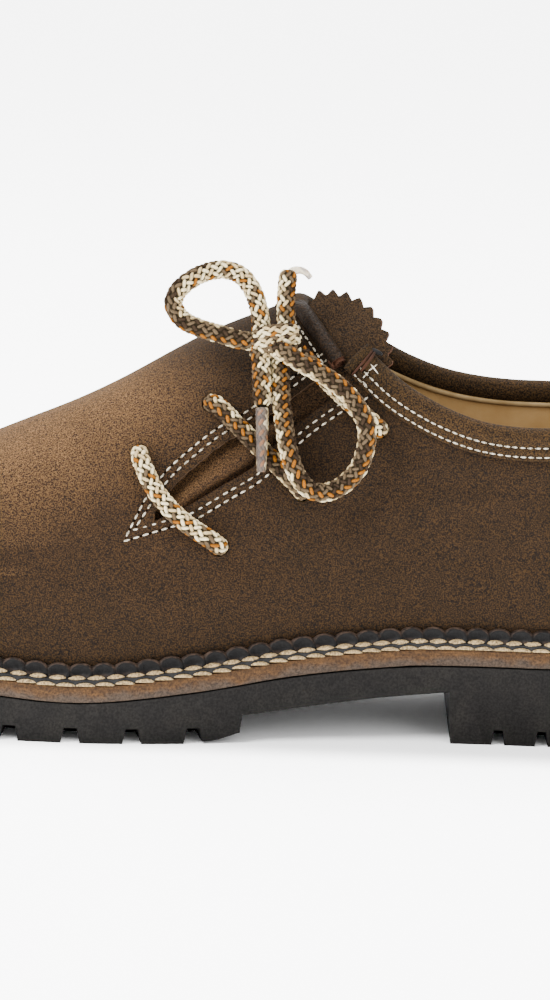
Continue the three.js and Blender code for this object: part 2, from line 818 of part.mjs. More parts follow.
// Strip round the upper's foot: a flat flange with a raised bead against the wall.
function makeWelt() {
  return bodyFromRings(aroundTheLast((station, side) => {
    const reach = rimWidth(station) - WELT_INSET;
    const outer = WELT_SECTION.map(({ out, up }) => {
      const point = edgePoint(station, side, out * reach);
      point.z = footbed(point.x) + up * WELT_BEAD;
      return point;
    });
    return [besideWall(station, side, 0), ...outer, besideWall(station, side, WELT_BEAD)];
  }));
}

// Upper

function edgeHeight(curve, x) {
  return SEAT_RISE + INSTEP_HEIGHT * valueAt(curve, (LAST_BACK - x) / LAST_LENGTH);
}

// Everything above a line that runs inside the collar, so that the collar takes the edge itself.
function aboveEdge(tables, low, high) {
  const line = tables.flatMap((rows) => {
    const curve = curveThrough(rows, 'up');
    return curve.getPoints(rows.length).map(({ x, y }) => {
      const place = sidePlace({ along: x, up: y });
      return { x: place.x, z: place.z - COLLAR_HEIGHT / 3 };
    });
  });
  const first = line[0];
  const last = line[line.length - 1];
  const cover = [{ x: last.x + FAR, z: last.z }, { x: last.x + FAR, z: FAR }, { x: first.x, z: FAR }];
  return sidePrism([...line, ...cover], low, high);
}

// Frame of the collar where the edge crosses a station of the wall.
function edgeFrame(curve, side, station) {
  const row = turningShare((middle) => {
    const { x, z } = lastPoint(station, side, middle, 0);
    return z < edgeHeight(curve, x);
  });
  return wallFrame(station, side, row);
}

function stationOf(place, side) {
  return wallStation(sidePlace(place), side).station;
}

const ridgeStation = stationOf(INSTEP_EDGE[1], LATERAL);
const RIDGE_SIDE = ridgeCurve.getPoint(ridgeStation).y;

function collarFrames() {
  const run = (rows, side, from, to, count) => {
    const curve = curveThrough(rows, 'up');
    return Array.from({ length: count }, (_, i) => (
      edgeFrame(curve, side, from + ((to - from) * i) / (count - 1))
    ));
  };
  const instepEnd = stationOf(INSTEP_EDGE[INSTEP_EDGE.length - 1], LATERAL);
  const past = ridgeStation + COLLAR_PAST_RIDGE;
  const bend = ridgeStation + COLLAR_BEND;
  const inner = ridgeStation + COLLAR_INNER;
  const slit = stationOf(LATERAL_EDGE[0], LATERAL);
  return [
    ...run(INSTEP_EDGE, LATERAL, instepEnd, past, COLLAR_COUNTS.instep),
    ...run(MEDIAL_EDGE, MEDIAL, past, bend, COLLAR_COUNTS.bend),
    ...run(MEDIAL_EDGE, MEDIAL, inner, 1, COLLAR_COUNTS.inner),
    ...run(LATERAL_EDGE, LATERAL, COLLAR_OUTER, slit, COLLAR_COUNTS.outer),
  ];
}

const frames = collarFrames();

// Band along the foot opening, grown all round, and inwards too where it cuts the wall away.
function collarBody(growth, inward) {
  const thickness = WALL + COLLAR_PROUD;
  const section = COLLAR_SECTION.map(({ out, down }) => new THREE.Vector2(out, down));
  const last = frames.length - 1;
  const rings = frames.map(({ point, normal }, i) => {
    const before = frames[Math.max(0, i - 1)].point;
    const after = frames[Math.min(last, i + 1)].point;
    const tangent = after.clone().sub(before).normalize();
    const down = tangent.clone().cross(normal).normalize();
    const out = tangent.clone().cross(down).normalize();
    if (down.z > 0) {
      down.negate();
    }
    if (out.dot(normal) < 0) {
      out.negate();
    }
    const past = (i === last ? 2 : 0) - (i === 0 ? 2 : 0);
    const centre = point.clone().addScaledVector(tangent, past * growth);
    return section.map(({ x, y }) => {
      const outwards = x * (thickness + 2 * growth + inward) - growth - inward - WALL;
      const downwards = y * (COLLAR_HEIGHT + 4 * growth) - growth;
      return centre.clone().addScaledVector(out, outwards).addScaledVector(down, downwards);
    });
  });
  return bodyFromRings(rings, THREE.ShapeUtils.triangulateShape(section, []));
}

function slitCutter() {
  const outline = [...SLIT_UPPER, ...[...SLIT_LOWER].reverse()].map(sidePlace);
  return sidePrism(outline, -FAR, 0);
}

function holeCutter(place) {
  const { point, normal } = wallPlace(place, LATERAL);
  const radius = LACE_RADIUS + CLEARANCE;
  const geometry = new THREE.CylinderGeometry(radius, radius, 8 * WALL, HOLE_SIDES);
  const turn = new THREE.Quaternion().setFromUnitVectors(new THREE.Vector3(0, 1, 0), normal);
  geometry.applyQuaternion(turn);
  geometry.translate(point.x, point.y, point.z);
  return solid(geometry);
}

function makeUpper(grownBars) {
  const cutters = [
    lastBody(WALL, 4 * WALL),
    aboveEdge([INSTEP_EDGE, LATERAL_EDGE], -FAR, RIDGE_SIDE),
    aboveEdge([MEDIAL_EDGE], RIDGE_SIDE, FAR),
    collarBody(CLEARANCE, WALL),
    slitCutter(),
    ...Object.values(HOLES).map(holeCutter),
    ...grownBars,
  ];
  return cutters.reduce((body, cutter) => body.subtract(cutter), lastBody(0, 0));
}

// Tongue

function pinkedArc() {
  const centre = sidePlace(FLAP_CENTRE);
  const turn = FLAP_END - FLAP_START;
  const teeth = Math.round((turn * FLAP_RADIUS) / PINK_PITCH);
  const points = [];
  for (let i = 0; i <= 2 * teeth; i += 1) {
    const angle = FLAP_START + (turn * i) / (2 * teeth);
    const radius = FLAP_RADIUS - (i % 2 === 0 ? PINK_DEPTH : 0);
    points.push({ x: centre.x + radius * Math.cos(angle), z: centre.z + radius * Math.sin(angle) });
  }
  return points;
}

function makeTongue() {
  const outline = [...TONGUE_EDGE.map(sidePlace), ...pinkedArc(), ...TONGUE_BACK.map(sidePlace)];
  const top = WALL + 2 * CLEARANCE;
  const band = lastBody(top, 0).subtract(lastBody(top + TONGUE_THICKNESS, TONGUE_THICKNESS));
  return band
    .intersect(sidePrism(outline, -FAR, RIDGE_SIDE + TONGUE_PAST_RIDGE))
    .subtract(collarBody(CLEARANCE, 0));
}

// Lace

// Points of a crossing that dips into its holes.
function barPoints(from, to, rows, sideways) {
  const lay = LACE_RADIUS + CLEARANCE;
  return rows.map(({ at, lift, bow }) => {
    const place = {
      along: from.along + at * (to.along - from.along) + bow * sideways.along,
      up: from.up + at * (to.up - from.up) + bow * sideways.up,
    };
    return lifted(place, LATERAL, lift * lay);
  });
}

function makeKnot() {
  const geometry = new THREE.SphereGeometry(1, KNOT_SIDES, KNOT_ROWS);
  geometry.scale(KNOT_LENGTH / 2, KNOT_DEPTH / 2, KNOT_HEIGHT / 2);
  geometry.translate(...KNOT_PLACE);
  return solid(geometry);
}

function freeLace(route, diameter, steps) {
  return tube(route.map((point) => new THREE.Vector3(...point)), diameter / 2, steps);
}

// Colours and the finished shoe

const leather = { color: 0x63492f, roughness: 0.85, metalness: 0 };
const darkLeather = { color: 0x4f3927, roughness: 0.8, metalness: 0 };
const rubber = { color: 0x3a3a3a, roughness: 0.9, metalness: 0 };
const soleLeather = { color: 0x93704c, roughness: 0.75, metalness: 0 };
const welting = { color: 0x231d1b, roughness: 0.6, metalness: 0 };
const lining = { color: 0xb08c55, roughness: 0.8, metalness: 0 };
const braid = { color: 0xb59a72, roughness: 0.9, metalness: 0 };
const aglet = { color: 0x6a5a48, roughness: 0.6, metalness: 0 };

const shoe = new THREE.Group();

function addPiece(name, body, finish) {
  const mesh = new THREE.Mesh(geometryOf(body), new THREE.MeshStandardMaterial(finish));
  mesh.name = name;
  shoe.add(mesh);
}

const bars = {
  lace_bar_1: barPoints(HOLES.front_upper, HOLES.front_lower, CROSSING, FRONT_BOW),
  lace_bar_2: barPoints(HOLES.middle_upper, HOLES.middle_lower, CROSSING, NO_BOW),
  lace_bar_3: barPoints(HOLES.top_lower, TOP_CROSSING_END, TOP_CROSSING, NO_BOW),
};
const grownBars = Object.values(bars).map((points) => (
  tube(points, LACE_RADIUS + CLEARANCE, BAR_STEPS)
));

addPiece('outsole', makeOutsole(), rubber);
addPiece('midsole', makeMidsole(), soleLeather);
addPiece('insole', makeInsole(), lining);
addPiece('welt', makeWelt(), welting);
addPiece('upper', makeUpper(grownBars), leather);
addPiece('collar', collarBody(0, 0), darkLeather);
addPiece('tongue', makeTongue(), darkLeather);
for (const [name, points] of Object.entries(bars)) {
  addPiece(name, tube(points, LACE_RADIUS, BAR_STEPS), braid);
}
addPiece('lace_knot', makeKnot(), braid);
addPiece('lace_loop_upper', freeLace(UPPER_LOOP, LACE_DIAMETER, LOOP_STEPS), braid);
addPiece('lace_loop_lower', freeLace(LOWER_LOOP, LACE_DIAMETER, LOOP_STEPS), braid);
addPiece('lace_end_1', freeLace(END_HANGING, LACE_DIAMETER, END_STEPS), braid);
addPiece('lace_end_2', freeLace(END_RAISED, LACE_DIAMETER, END_STEPS), braid);
addPiece('aglet_1', freeLace(AGLET_HANGING, AGLET_DIAMETER, END_STEPS), aglet);
addPiece('aglet_2', freeLace(AGLET_RAISED, AGLET_DIAMETER, AGLET_STEPS), aglet);

export default shoe;
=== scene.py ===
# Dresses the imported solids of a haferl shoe: left foot, toe towards -X, outer side towards -Y.
# Sizes in the tables are millimetres, and meshes are written in metres.
import math

import bmesh
import bpy
import numpy as np
from mathutils import Matrix, Vector


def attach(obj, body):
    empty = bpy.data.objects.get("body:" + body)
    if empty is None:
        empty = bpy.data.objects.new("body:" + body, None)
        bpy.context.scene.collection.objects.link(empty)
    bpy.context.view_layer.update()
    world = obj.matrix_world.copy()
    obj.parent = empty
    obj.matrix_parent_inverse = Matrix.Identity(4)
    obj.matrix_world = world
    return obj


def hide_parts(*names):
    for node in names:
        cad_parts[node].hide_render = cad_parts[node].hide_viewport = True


bl_info = {
    "name": "Haferl shoe",
    "version": (1, 0, 0),
    "blender": (4, 5, 0),
    "location": "3D View > Sidebar > Shoe",
    "description": "Leather, laces, welt stitching and studio for a left haferl shoe",
    "category": "Object",
}

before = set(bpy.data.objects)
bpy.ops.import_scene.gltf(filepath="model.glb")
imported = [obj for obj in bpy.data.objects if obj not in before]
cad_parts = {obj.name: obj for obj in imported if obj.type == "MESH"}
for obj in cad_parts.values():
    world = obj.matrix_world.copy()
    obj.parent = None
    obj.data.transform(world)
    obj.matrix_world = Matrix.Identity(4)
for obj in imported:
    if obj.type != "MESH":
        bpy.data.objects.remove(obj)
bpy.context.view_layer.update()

MM = 0.001

# Sizes of the solids, as their source names them
HEEL_BACK = 38.0
HEEL_RISE = 23.5
MIDSOLE_THICKNESS = 5.0
LAST_LENGTH = 286.0
BALL_WIDTH = 92.0
INSTEP_HEIGHT = 102.5
WALL_SWELL = 3.2
FLANGE = 6.5
WELT_BEAD = 4.6
WELT_INSET = 0.7
CLEARANCE = 0.3
FLAP_RADIUS = 18.3
FLAP_START = -0.15
FLAP_END = 1.95
LACE = 6.0

# Rows of the last from the toe to the heel: along, lateral, medial, ridge along, ridge side,
# ridge up, rise, swell, spread and rim
LAST = np.array([
    (1.000, 0.065, 0.065, 0.940, 0.065, 0.310, 0.62, 0.6, 0.62, 1.00),
    (0.986, -0.103, 0.228, 0.935, 0.065, 0.320, 0.62, 0.7, 0.62, 1.00),
    (0.948, -0.249, 0.345, 0.912, 0.065, 0.350, 0.60, 0.8, 0.62, 1.00),
    (0.878, -0.380, 0.432, 0.862, 0.060, 0.420, 0.58, 0.9, 0.62, 1.00),
    (0.787, -0.462, 0.474, 0.783, 0.045, 0.530, 0.54, 1.0, 0.60, 1.00),
    (0.692, -0.502, 0.480, 0.692, 0.035, 0.665, 0.48, 1.2, 0.57, 1.00),
    (0.598, -0.503, 0.442, 0.598, 0.030, 0.797, 0.45, 1.2, 0.54, 1.00),
    (0.500, -0.462, 0.366, 0.500, 0.035, 0.925, 0.43, 1.0, 0.50, 0.95),
    (0.402, -0.402, 0.302, 0.402, 0.040, 1.000, 0.42, 0.6, 0.47, 0.90),
    (0.304, -0.362, 0.283, 0.304, 0.030, 1.100, 0.40, 0.5, 0.60, 0.85),
    (0.213, -0.348, 0.304, 0.220, 0.005, 1.170, 0.40, 0.7, 0.76, 0.80),
    (0.122, -0.345, 0.330, 0.157, 0.000, 1.200, 0.38, 1.0, 0.83, 0.77),
    (0.056, -0.296, 0.292, 0.122, 0.000, 1.200, 0.36, 1.3, 0.78, 0.77),
    (0.014, -0.170, 0.170, 0.108, 0.000, 1.200, 0.36, 1.3, 0.74, 0.77),
    (0.000, 0.000, 0.000, 0.104, 0.000, 1.200, 0.36, 1.3, 0.74, 0.77),
])
SOLE_LENGTH = LAST_LENGTH + FLANGE * (LAST[0, 9] + LAST[-1, 9])
LAST_BACK = HEEL_BACK - FLANGE * LAST[-1, 9]
MIDSOLE_RISE = CLEARANCE + MIDSOLE_THICKNESS
SEAT_RISE = HEEL_RISE + MIDSOLE_RISE + CLEARANCE

# Lines on the side of the shoe: share of the length from the heel, share of the height
RUBBER_TOP = [
    (0.000, 1.000), (0.245, 1.000), (0.305, 0.970), (0.400, 0.850), (0.500, 0.650),
    (0.610, 0.505), (0.700, 0.560), (0.800, 0.680), (0.900, 0.835), (1.000, 1.010),
]
INSTEP_EDGE = [(0.416, 0.999), (0.406, 0.965), (0.381, 0.887), (0.360, 0.814)]
LATERAL_EDGE = [
    (0.329, 0.828), (0.315, 0.792), (0.279, 0.727), (0.229, 0.670), (0.188, 0.650),
    (0.144, 0.650), (0.087, 0.667), (0.038, 0.697), (-0.010, 0.722),
]
MEDIAL_EDGE = [
    (0.416, 0.999), (0.406, 0.965), (0.374, 0.910), (0.339, 0.852), (0.297, 0.782),
    (0.248, 0.727), (0.196, 0.700), (0.145, 0.692), (0.087, 0.695), (0.038, 0.707),
    (-0.010, 0.722),
]
SLIT_UPPER = [
    (0.563, 0.331), (0.556, 0.350), (0.533, 0.444), (0.508, 0.510), (0.482, 0.568),
    (0.448, 0.623), (0.402, 0.721), (0.376, 0.780), (0.360, 0.814), (0.346, 0.880),
]
SLIT_LOWER = [
    (0.516, 0.394), (0.484, 0.448), (0.448, 0.510), (0.411, 0.614), (0.371, 0.699),
    (0.346, 0.740), (0.329, 0.828), (0.326, 0.880),
]
TONGUE_EDGE = [
    (0.591, 0.301), (0.563, 0.243), (0.479, 0.321), (0.423, 0.428), (0.360, 0.565),
    (0.318, 0.672),
]
TONGUE_BACK = [(0.412, 0.887), (0.437, 0.789), (0.483, 0.682), (0.535, 0.575), (0.591, 0.419)]
FLAP_CENTRE = (0.373, 0.813)
HOLES = {
    "front_upper": (0.570, 0.526),
    "front_lower": (0.483, 0.282),
    "middle_upper": (0.497, 0.672),
    "middle_lower": (0.399, 0.438),
    "top_upper": (0.416, 0.815),
    "top_lower": (0.322, 0.622),
}

# Crossings over the slit: share of the way, lift over the wall in radii, share of the bow
CROSSING = [
    (0.01, -1.9, 0.00), (0.00, -0.36, 0.00), (0.03, 0.50, 0.10), (0.11, 1.12, 0.40),
    (0.30, 1.10, 0.90), (0.50, 1.10, 1.00), (0.70, 1.10, 0.75), (0.89, 1.12, 0.30),
    (0.97, 0.50, 0.10), (1.00, -0.36, 0.00), (0.99, -1.9, 0.00),
]
TOP_CROSSING = [
    (0.01, -1.9, 0), (0.00, -0.36, 0), (0.04, 0.50, 0), (0.14, 1.12, 0),
    (0.40, 1.20, 0), (0.65, 1.65, 0), (0.85, 1.75, 0), (1.00, 1.65, 0),
]
FRONT_BOW = (0.0094, -0.026)
TOP_CROSSING_END = (0.405, 0.799)

# Routes of the free lace, in millimetres
UPPER_LOOP = [
    (-98.7, -20.9, 117), (-102, -21.3, 117.4), (-107.4, -21.5, 118.9), (-113.4, -21.5, 120.4),
    (-118.9, -21, 122.9), (-121.6, -20, 127.1), (-120.4, -18.5, 130.8), (-116.7, -16.5, 134.1),
    (-112.4, -14.5, 136.1), (-107.3, -13, 136.9), (-102.4, -12.7, 135.6), (-99.1, -13.5, 132.4),
    (-97, -15.5, 128.5), (-95.9, -17.5, 124.7), (-95.4, -18.8, 121.6),
]
LOWER_LOOP = [
    (-87.3, -27.9, 114.7), (-82.5, -30.7, 112.4), (-78, -32.3, 110.5), (-72.8, -34, 107.7),
    (-68.3, -35.5, 104), (-65.2, -36.6, 100.1), (-63.2, -37.4, 95.8), (-62.8, -37.6, 91.4),
    (-63.5, -37.4, 87.1), (-64.9, -36.8, 83), (-67.3, -36.8, 79.6), (-70.7, -37.3, 76.8),
    (-74.8, -38.9, 75.6), (-78.7, -40.3, 76.5), (-81.6, -41.1, 79), (-83.8, -40.9, 82.5),
    (-85.4, -39.4, 86.6), (-86.5, -36.9, 90.6), (-87.6, -33.1, 95.8), (-88.4, -29.2, 101.1),
    (-88.9, -25.6, 105.8), (-89.1, -22.3, 111.3),
]
END_HANGING = [
    (-95.1, -23.6, 113.1), (-94.7, -26.2, 108.7), (-94.3, -29.3, 103.9), (-94.1, -32.2, 99.6),
]
AGLET_HANGING = [
    (-94.1, -32.5, 98.9), (-93.8, -35.1, 93), (-93.7, -37.2, 86.8), (-93.6, -38.5, 81),
]
END_RAISED = [
    (-87.9, -19, 121.3), (-88, -18.2, 124.8), (-88.2, -17, 129.1), (-88.1, -16, 132.9),
    (-87.7, -15, 137.9),
]
AGLET_RAISED = [
    (-87.6, -14.9, 136.4), (-86.4, -14.4, 137.5), (-84.4, -13.6, 137.7), (-82.8, -13.1, 137.1),
    (-81.2, -12.6, 135.4),
]
KNOT_PLACE = (-91.1, -20.5, 116.9)
UPPER_LOOP_START = (-92.8, -20.6, 116.9)
LOWER_LOOP_START = (-91.0, -23.6, 116.0)
THROUGH_KNOT = (-95.3, -21.0, 117.4)
THROUGH_KNOT_RAISED = (-88.6, -20.8, 116.4)

LOBE_PITCH = 7.0
ROLL_RADIUS = 2.5
# What the section of the collar measures: how far it stands out, its height, the topline's length
SECTION_ROLL = 2.1
SECTION_HEIGHT = 9.0
TOPLINE = 345.0
# Further away than any point of the shoe
FAR = 400.0
# Welding distance in metres, and even steps along the topline for collar, corners and seams
WELD = 0.00002
COLLAR_STEPS = 330
CORNER_STEPS = 500
SEAM_STEPS = 1400

# Creases seen on the outer side: route in x and z, depth, width
CREASES = [
    ([(-52, 74), (-40, 78), (-26, 77)], 0.45, 3.2),
    ([(-47, 62), (-30, 67), (-14, 66)], 0.40, 3.6),
    ([(-58, 54), (-42, 57), (-27, 55)], 0.35, 3.4),
    ([(-38, 88), (-24, 86), (-10, 86)], 0.35, 2.8),
    ([(-171, 50), (-160, 51), (-149, 49)], 0.35, 2.6),
    ([(-150, 86), (-144, 74), (-142, 62)], 0.40, 4.5),
    ([(-128, 52), (-112, 49), (-96, 52)], 0.45, 5.0),
    ([(-76, 62), (-66, 70), (-58, 80)], 0.45, 4.2),
    ([(-20, 60), (-4, 56), (12, 58)], 0.40, 4.0),
]
# Corner of the quarter and its tack stitches: x and z on the outer wall
CORNER_FOLD = [(-69.1, 108.5), (-65.6, 112.2), (-62.2, 115.7)]
CORNER_CUT = [(-67.5, 107.4), (-64.1, 111.3), (-61.5, 114.7)]
COLLAR_CUT = [(-64.9, 108.6), (-62.6, 111.5), (-60.8, 114.4)]
PADDING_END = [(-61.8, 115.1), (-58.8, 113.9)]
LONG_THREADS = [
    ((-62.5, 108.8), (-59.9, 110.9)), ((-62.0, 110.8), (-59.5, 108.0)),
    ((-64.2, 106.7), (-62.5, 108.5)), ((-64.2, 105.8), (-62.9, 104.5)),
]
# Stitch rows round the slit: distance from its edge, and the place of the row's tip
SLIT_TIP_STITCHES = {2.4: (-130.6, 62.0), 4.5: (-133.4, 58.8)}


# Curves that the last and the sole are drawn with

def catmull_rom(points, shares, closed=False, centripetal=True):
    """Places on a Catmull-Rom curve at shares of its spans."""
    points = np.asarray(points, float)
    count = len(points)
    spans = count if closed else count - 1
    place = np.asarray(shares, float) * spans
    first = np.floor(place).astype(int)
    if not closed:
        first = np.clip(first, 0, count - 2)
    weight = (place - first)[..., None]
    if closed:
        before, start, end, after = (points[(first + i) % count] for i in (-1, 0, 1, 2))
    else:
        ends = np.vstack([2 * points[0] - points[1], points, 2 * points[-1] - points[-2]])
        before, start, end, after = (ends[first + i] for i in (0, 1, 2, 3))
    if centripetal:
        gaps = [np.sqrt(np.linalg.norm(b - a, axis=-1, keepdims=True))
                for a, b in ((before, start), (start, end), (end, after))]
        middle = np.maximum(gaps[1], 1e-4)
        left = np.where(gaps[0] < 1e-4, middle, gaps[0])
        right = np.where(gaps[2] < 1e-4, middle, gaps[2])
        leave = ((start - before) / left - (end - before) / (left + middle)
                 + (end - start) / middle) * middle
        arrive = ((end - start) / middle - (after - start) / (middle + right)
                  + (after - end) / right) * middle
    else:
        leave = (end - before) / 2
        arrive = (after - start) / 2
    return (start + leave * weight
            + (3 * (end - start) - 2 * leave - arrive) * weight ** 2
            + (2 * (start - end) + leave + arrive) * weight ** 3)


def smooth_line(rows, steps=24):
    """Points of a smooth line through rows of two numbers."""
    rows = np.asarray(rows, float)
    ends = np.vstack([rows[:1], rows, rows[-1:]])
    share = np.linspace(0, 1, steps, endpoint=False)[:, None]
    parts = []
    for before, start, end, after in zip(ends, ends[1:], ends[2:], ends[3:]):
        leave, arrive = (end - before) / 2, (after - start) / 2
        parts.append(start + leave * share + (3 * (end - start) - 2 * leave - arrive) * share ** 2
                     + (2 * (start - end) + leave + arrive) * share ** 3)
    return np.vstack(parts + [rows[-1:]])


def side_places(rows):
    """Rows of shares of length and height as x and z in millimetres."""
    rows = np.asarray(rows, float)
    x = LAST_BACK - rows[..., 0] * LAST_LENGTH
    z = SEAT_RISE + rows[..., 1] * INSTEP_HEIGHT
    return np.stack([x, z], axis=-1)


RUBBER_LINE = smooth_line(RUBBER_TOP)
EDGE_KNOTS = np.vstack([
    np.stack([LAST_BACK - LAST[:, 0] * LAST_LENGTH, LAST[:, 1] * BALL_WIDTH], axis=1),
    np.stack([LAST_BACK - LAST[-2:0:-1, 0] * LAST_LENGTH, LAST[-2:0:-1, 2] * BALL_WIDTH], axis=1),
])
EDGE_KNOTS = np.column_stack([EDGE_KNOTS, np.zeros(len(EDGE_KNOTS))])
RIDGE_KNOTS = np.stack([
    LAST_BACK - LAST[:, 3] * LAST_LENGTH, LAST[:, 4] * BALL_WIDTH, LAST[:, 5] * INSTEP_HEIGHT,
], axis=1)


def rubber_top(x):
    """Height of the rubber's top at x."""
    share = (HEEL_BACK - np.asarray(x, float)) / SOLE_LENGTH
    return HEEL_RISE * np.interp(share, RUBBER_LINE[:, 0], RUBBER_LINE[:, 1])


def footbed(x):
    """Height of the last's edge over the floor at x."""
    return rubber_top(x) + MIDSOLE_RISE + CLEARANCE


def edge_point(share, outwards):
    """Place of the last's edge at a share of its loop, moved outwards, with the way out."""
    point = catmull_rom(EDGE_KNOTS, share, closed=True)
    step = 1e-4
    along = (catmull_rom(EDGE_KNOTS, np.minimum(share + step, 1), closed=True)
             - catmull_rom(EDGE_KNOTS, np.maximum(share - step, 0), closed=True))
    out = np.stack([along[..., 1], -along[..., 0], np.zeros(along.shape[:-1])], axis=-1)
    out /= np.linalg.norm(out, axis=-1, keepdims=True)
    return point + out * np.asarray(outwards)[..., None], out


def ridge_point(station, inset):
    """Places of the ridge, with the slope of the ridge there."""
    point = catmull_rom(RIDGE_KNOTS, station)
    before = catmull_rom(RIDGE_KNOTS, np.maximum(0, station - 0.05))
    after = catmull_rom(RIDGE_KNOTS, np.minimum(1, station + 0.05))
    run = after[..., 0] - before[..., 0]
    climb = after[..., 2] + footbed(after[..., 0]) - before[..., 2] - footbed(before[..., 0])
    slope = np.where(run > 0.2, climb / np.maximum(run, 0.2), 0)
    point[..., 2] += footbed(point[..., 0]) - inset * np.hypot(1, slope)
    return point, slope


def last_point(station, medial, row, inset=0.0):
    """Places of the last's wall: row 0 on the edge of the sole, 1 on the ridge."""
    station, medial, row, inset = np.broadcast_arrays(
        np.asarray(station, float), medial, np.asarray(row, float), np.asarray(inset, float))
    share = np.where(medial, (1 - station / 2) % 1, station / 2)
    rim, out = edge_point(share, np.zeros(share.shape))
    edge = rim - out * inset[..., None]
    edge[..., 2] = footbed(rim[..., 0])
    ridge, slope = ridge_point(station, inset)
    wall = catmull_rom(LAST[:, 6:9], station, centripetal=False)
    outward = edge - ridge
    outward[..., 2] = 0
    width = np.linalg.norm(outward, axis=-1, keepdims=True)
    outward = outward / width
    height = ridge[..., 2] - edge[..., 2]
    lower = edge + outward * wall[..., 1:2] * WALL_SWELL
    lower[..., 2] += wall[..., 0] * height
    upper = ridge + outward * wall[..., 2:3] * width
    upper[..., 2] += np.minimum(slope, 1) * outward[..., 0] * wall[..., 2] * width[..., 0]
    t = row[..., None]
    return ((1 - t) ** 3 * edge + 3 * t * (1 - t) ** 2 * lower
            + 3 * t ** 2 * (1 - t) * upper + t ** 3 * ridge)


def halved(too_small, shape, rounds):
    """Shares from 0 to 1 found by halving, with a test that says which are too small."""
    low, high = np.zeros(shape), np.ones(shape)
    for _ in range(rounds):
        middle = (low + high) / 2
        small = too_small(middle)
        low, high = np.where(small, middle, low), np.where(small, high, middle)
    return (low + high) / 2


def row_at_height(station, z):
    """Rows of the outer wall that lie at heights z."""
    return halved(lambda row: last_point(station, False, row)[..., 2] < z, np.shape(z), 15)


def wall_station(places):
    """Stations and rows of the outer wall that lie at x and z, seen from the side."""
    places = np.asarray(places, float)
    x, z = places[..., 0], places[..., 1]
    station = halved(lambda middle: last_point(middle, False, row_at_height(middle, z))[..., 0] < x,
                     x.shape, 15)
    return station, row_at_height(station, z)


def wall_frame(station, medial, row):
    """Places of the wall with the way out of it."""
    step = 0.01
    low = np.minimum(row, 1 - step)
    point = last_point(station, medial, row)
    along = (last_point(np.minimum(1, station + step), medial, low)
             - last_point(np.maximum(0, station - step), medial, low))
    up = last_point(station, medial, low + step) - last_point(station, medial, low)
    normal = np.cross(along, up) * np.where(medial, -1, 1)[..., None]
    return point, normal / np.linalg.norm(normal, axis=-1, keepdims=True)


def line_distance(places, line):
    """Distance of each place from a line of points."""
    best = np.full(places.shape[:-1], 1e9)
    for start, end in zip(line, line[1:]):
        span = end - start
        share = np.clip(((places - start) @ span) / max(span @ span, 1e-12), 0, 1)
        best = np.minimum(best, np.linalg.norm(places - start - share[..., None] * span, axis=-1))
    return best


def outside_distance(places, outline):
    """Distance from an outline, below zero inside it."""
    outline = np.asarray(outline)
    ring = np.vstack([outline, outline[:1]])
    inside = np.zeros(places.shape[:-1], bool)
    for (ax, az), (bx, bz) in zip(ring, ring[1:]):
        crosses = (az > places[..., 1]) != (bz > places[..., 1])
        reach = ax + (places[..., 1] - az) * (bx - ax) / (bz - az if bz != az else 1e-9)
        inside ^= crosses & (places[..., 0] < reach)
    return np.where(inside, -1, 1) * line_distance(places, ring)


def softly(value, low, high):
    """Smooth step from 0 at low to 1 at high."""
    share = np.clip((np.asarray(value, float) - low) / (high - low), 0, 1)
    return share * share * (3 - 2 * share)


SLIT_UPPER_LINE = smooth_line(side_places(SLIT_UPPER), 6)
SLIT_LOWER_LINE = smooth_line(side_places(SLIT_LOWER), 6)
SLIT_OUTLINE = np.vstack([SLIT_UPPER_LINE, SLIT_LOWER_LINE[::-1]])


def offset_line(line, reach):
    """The line moved sideways, to the left of its direction."""
    along = np.gradient(line, axis=0)
    along /= np.linalg.norm(along, axis=1, keepdims=True)
    return line + reach * np.stack([-along[:, 1], along[:, 0]], axis=1)


def slit_row(reach):
    """Route of a stitch row round the slit, from the instep to the tip and back to the quarter."""
    upper = offset_line(SLIT_UPPER_LINE[8:44], reach)
    lower = offset_line(SLIT_LOWER_LINE[:31], -reach)
    return np.vstack([upper[::-1], [SLIT_TIP_STITCHES[reach]], lower])


SLIT_ROWS = [slit_row(reach) for reach in SLIT_TIP_STITCHES]


def relief(point, medial):
    """Height of the leather over the last: creases and pulled stitch rows."""
    place = point[..., [0, 2]]
    outer = np.where(medial, 0, softly(-point[..., 1], 0, 8))
    height = np.zeros(place.shape[:-1])
    for route, depth, width in CREASES:
        gap = line_distance(place, smooth_line(route, 6)) / width
        height -= depth * np.exp(-gap ** 2)
        height += 0.4 * depth * np.exp(-(gap - 1.7) ** 2 * 1.6)
    x, z = point[..., 0], point[..., 2]
    height += 0.22 * np.sin(x / 9 + 2.1 * np.sin(z / 13)) * np.sin(z / 8 + 1.3 * np.sin(x / 17))
    for row in SLIT_ROWS:
        height -= 0.32 * np.exp(-(line_distance(place, row) / 0.75) ** 2)
    height += 0.28 * np.exp(-((line_distance(place, SLIT_ROWS[0]) - 1.2) / 1.0) ** 2)
    fade = softly(z - footbed(x), 1, 14)
    return height * outer * fade


# Meshes

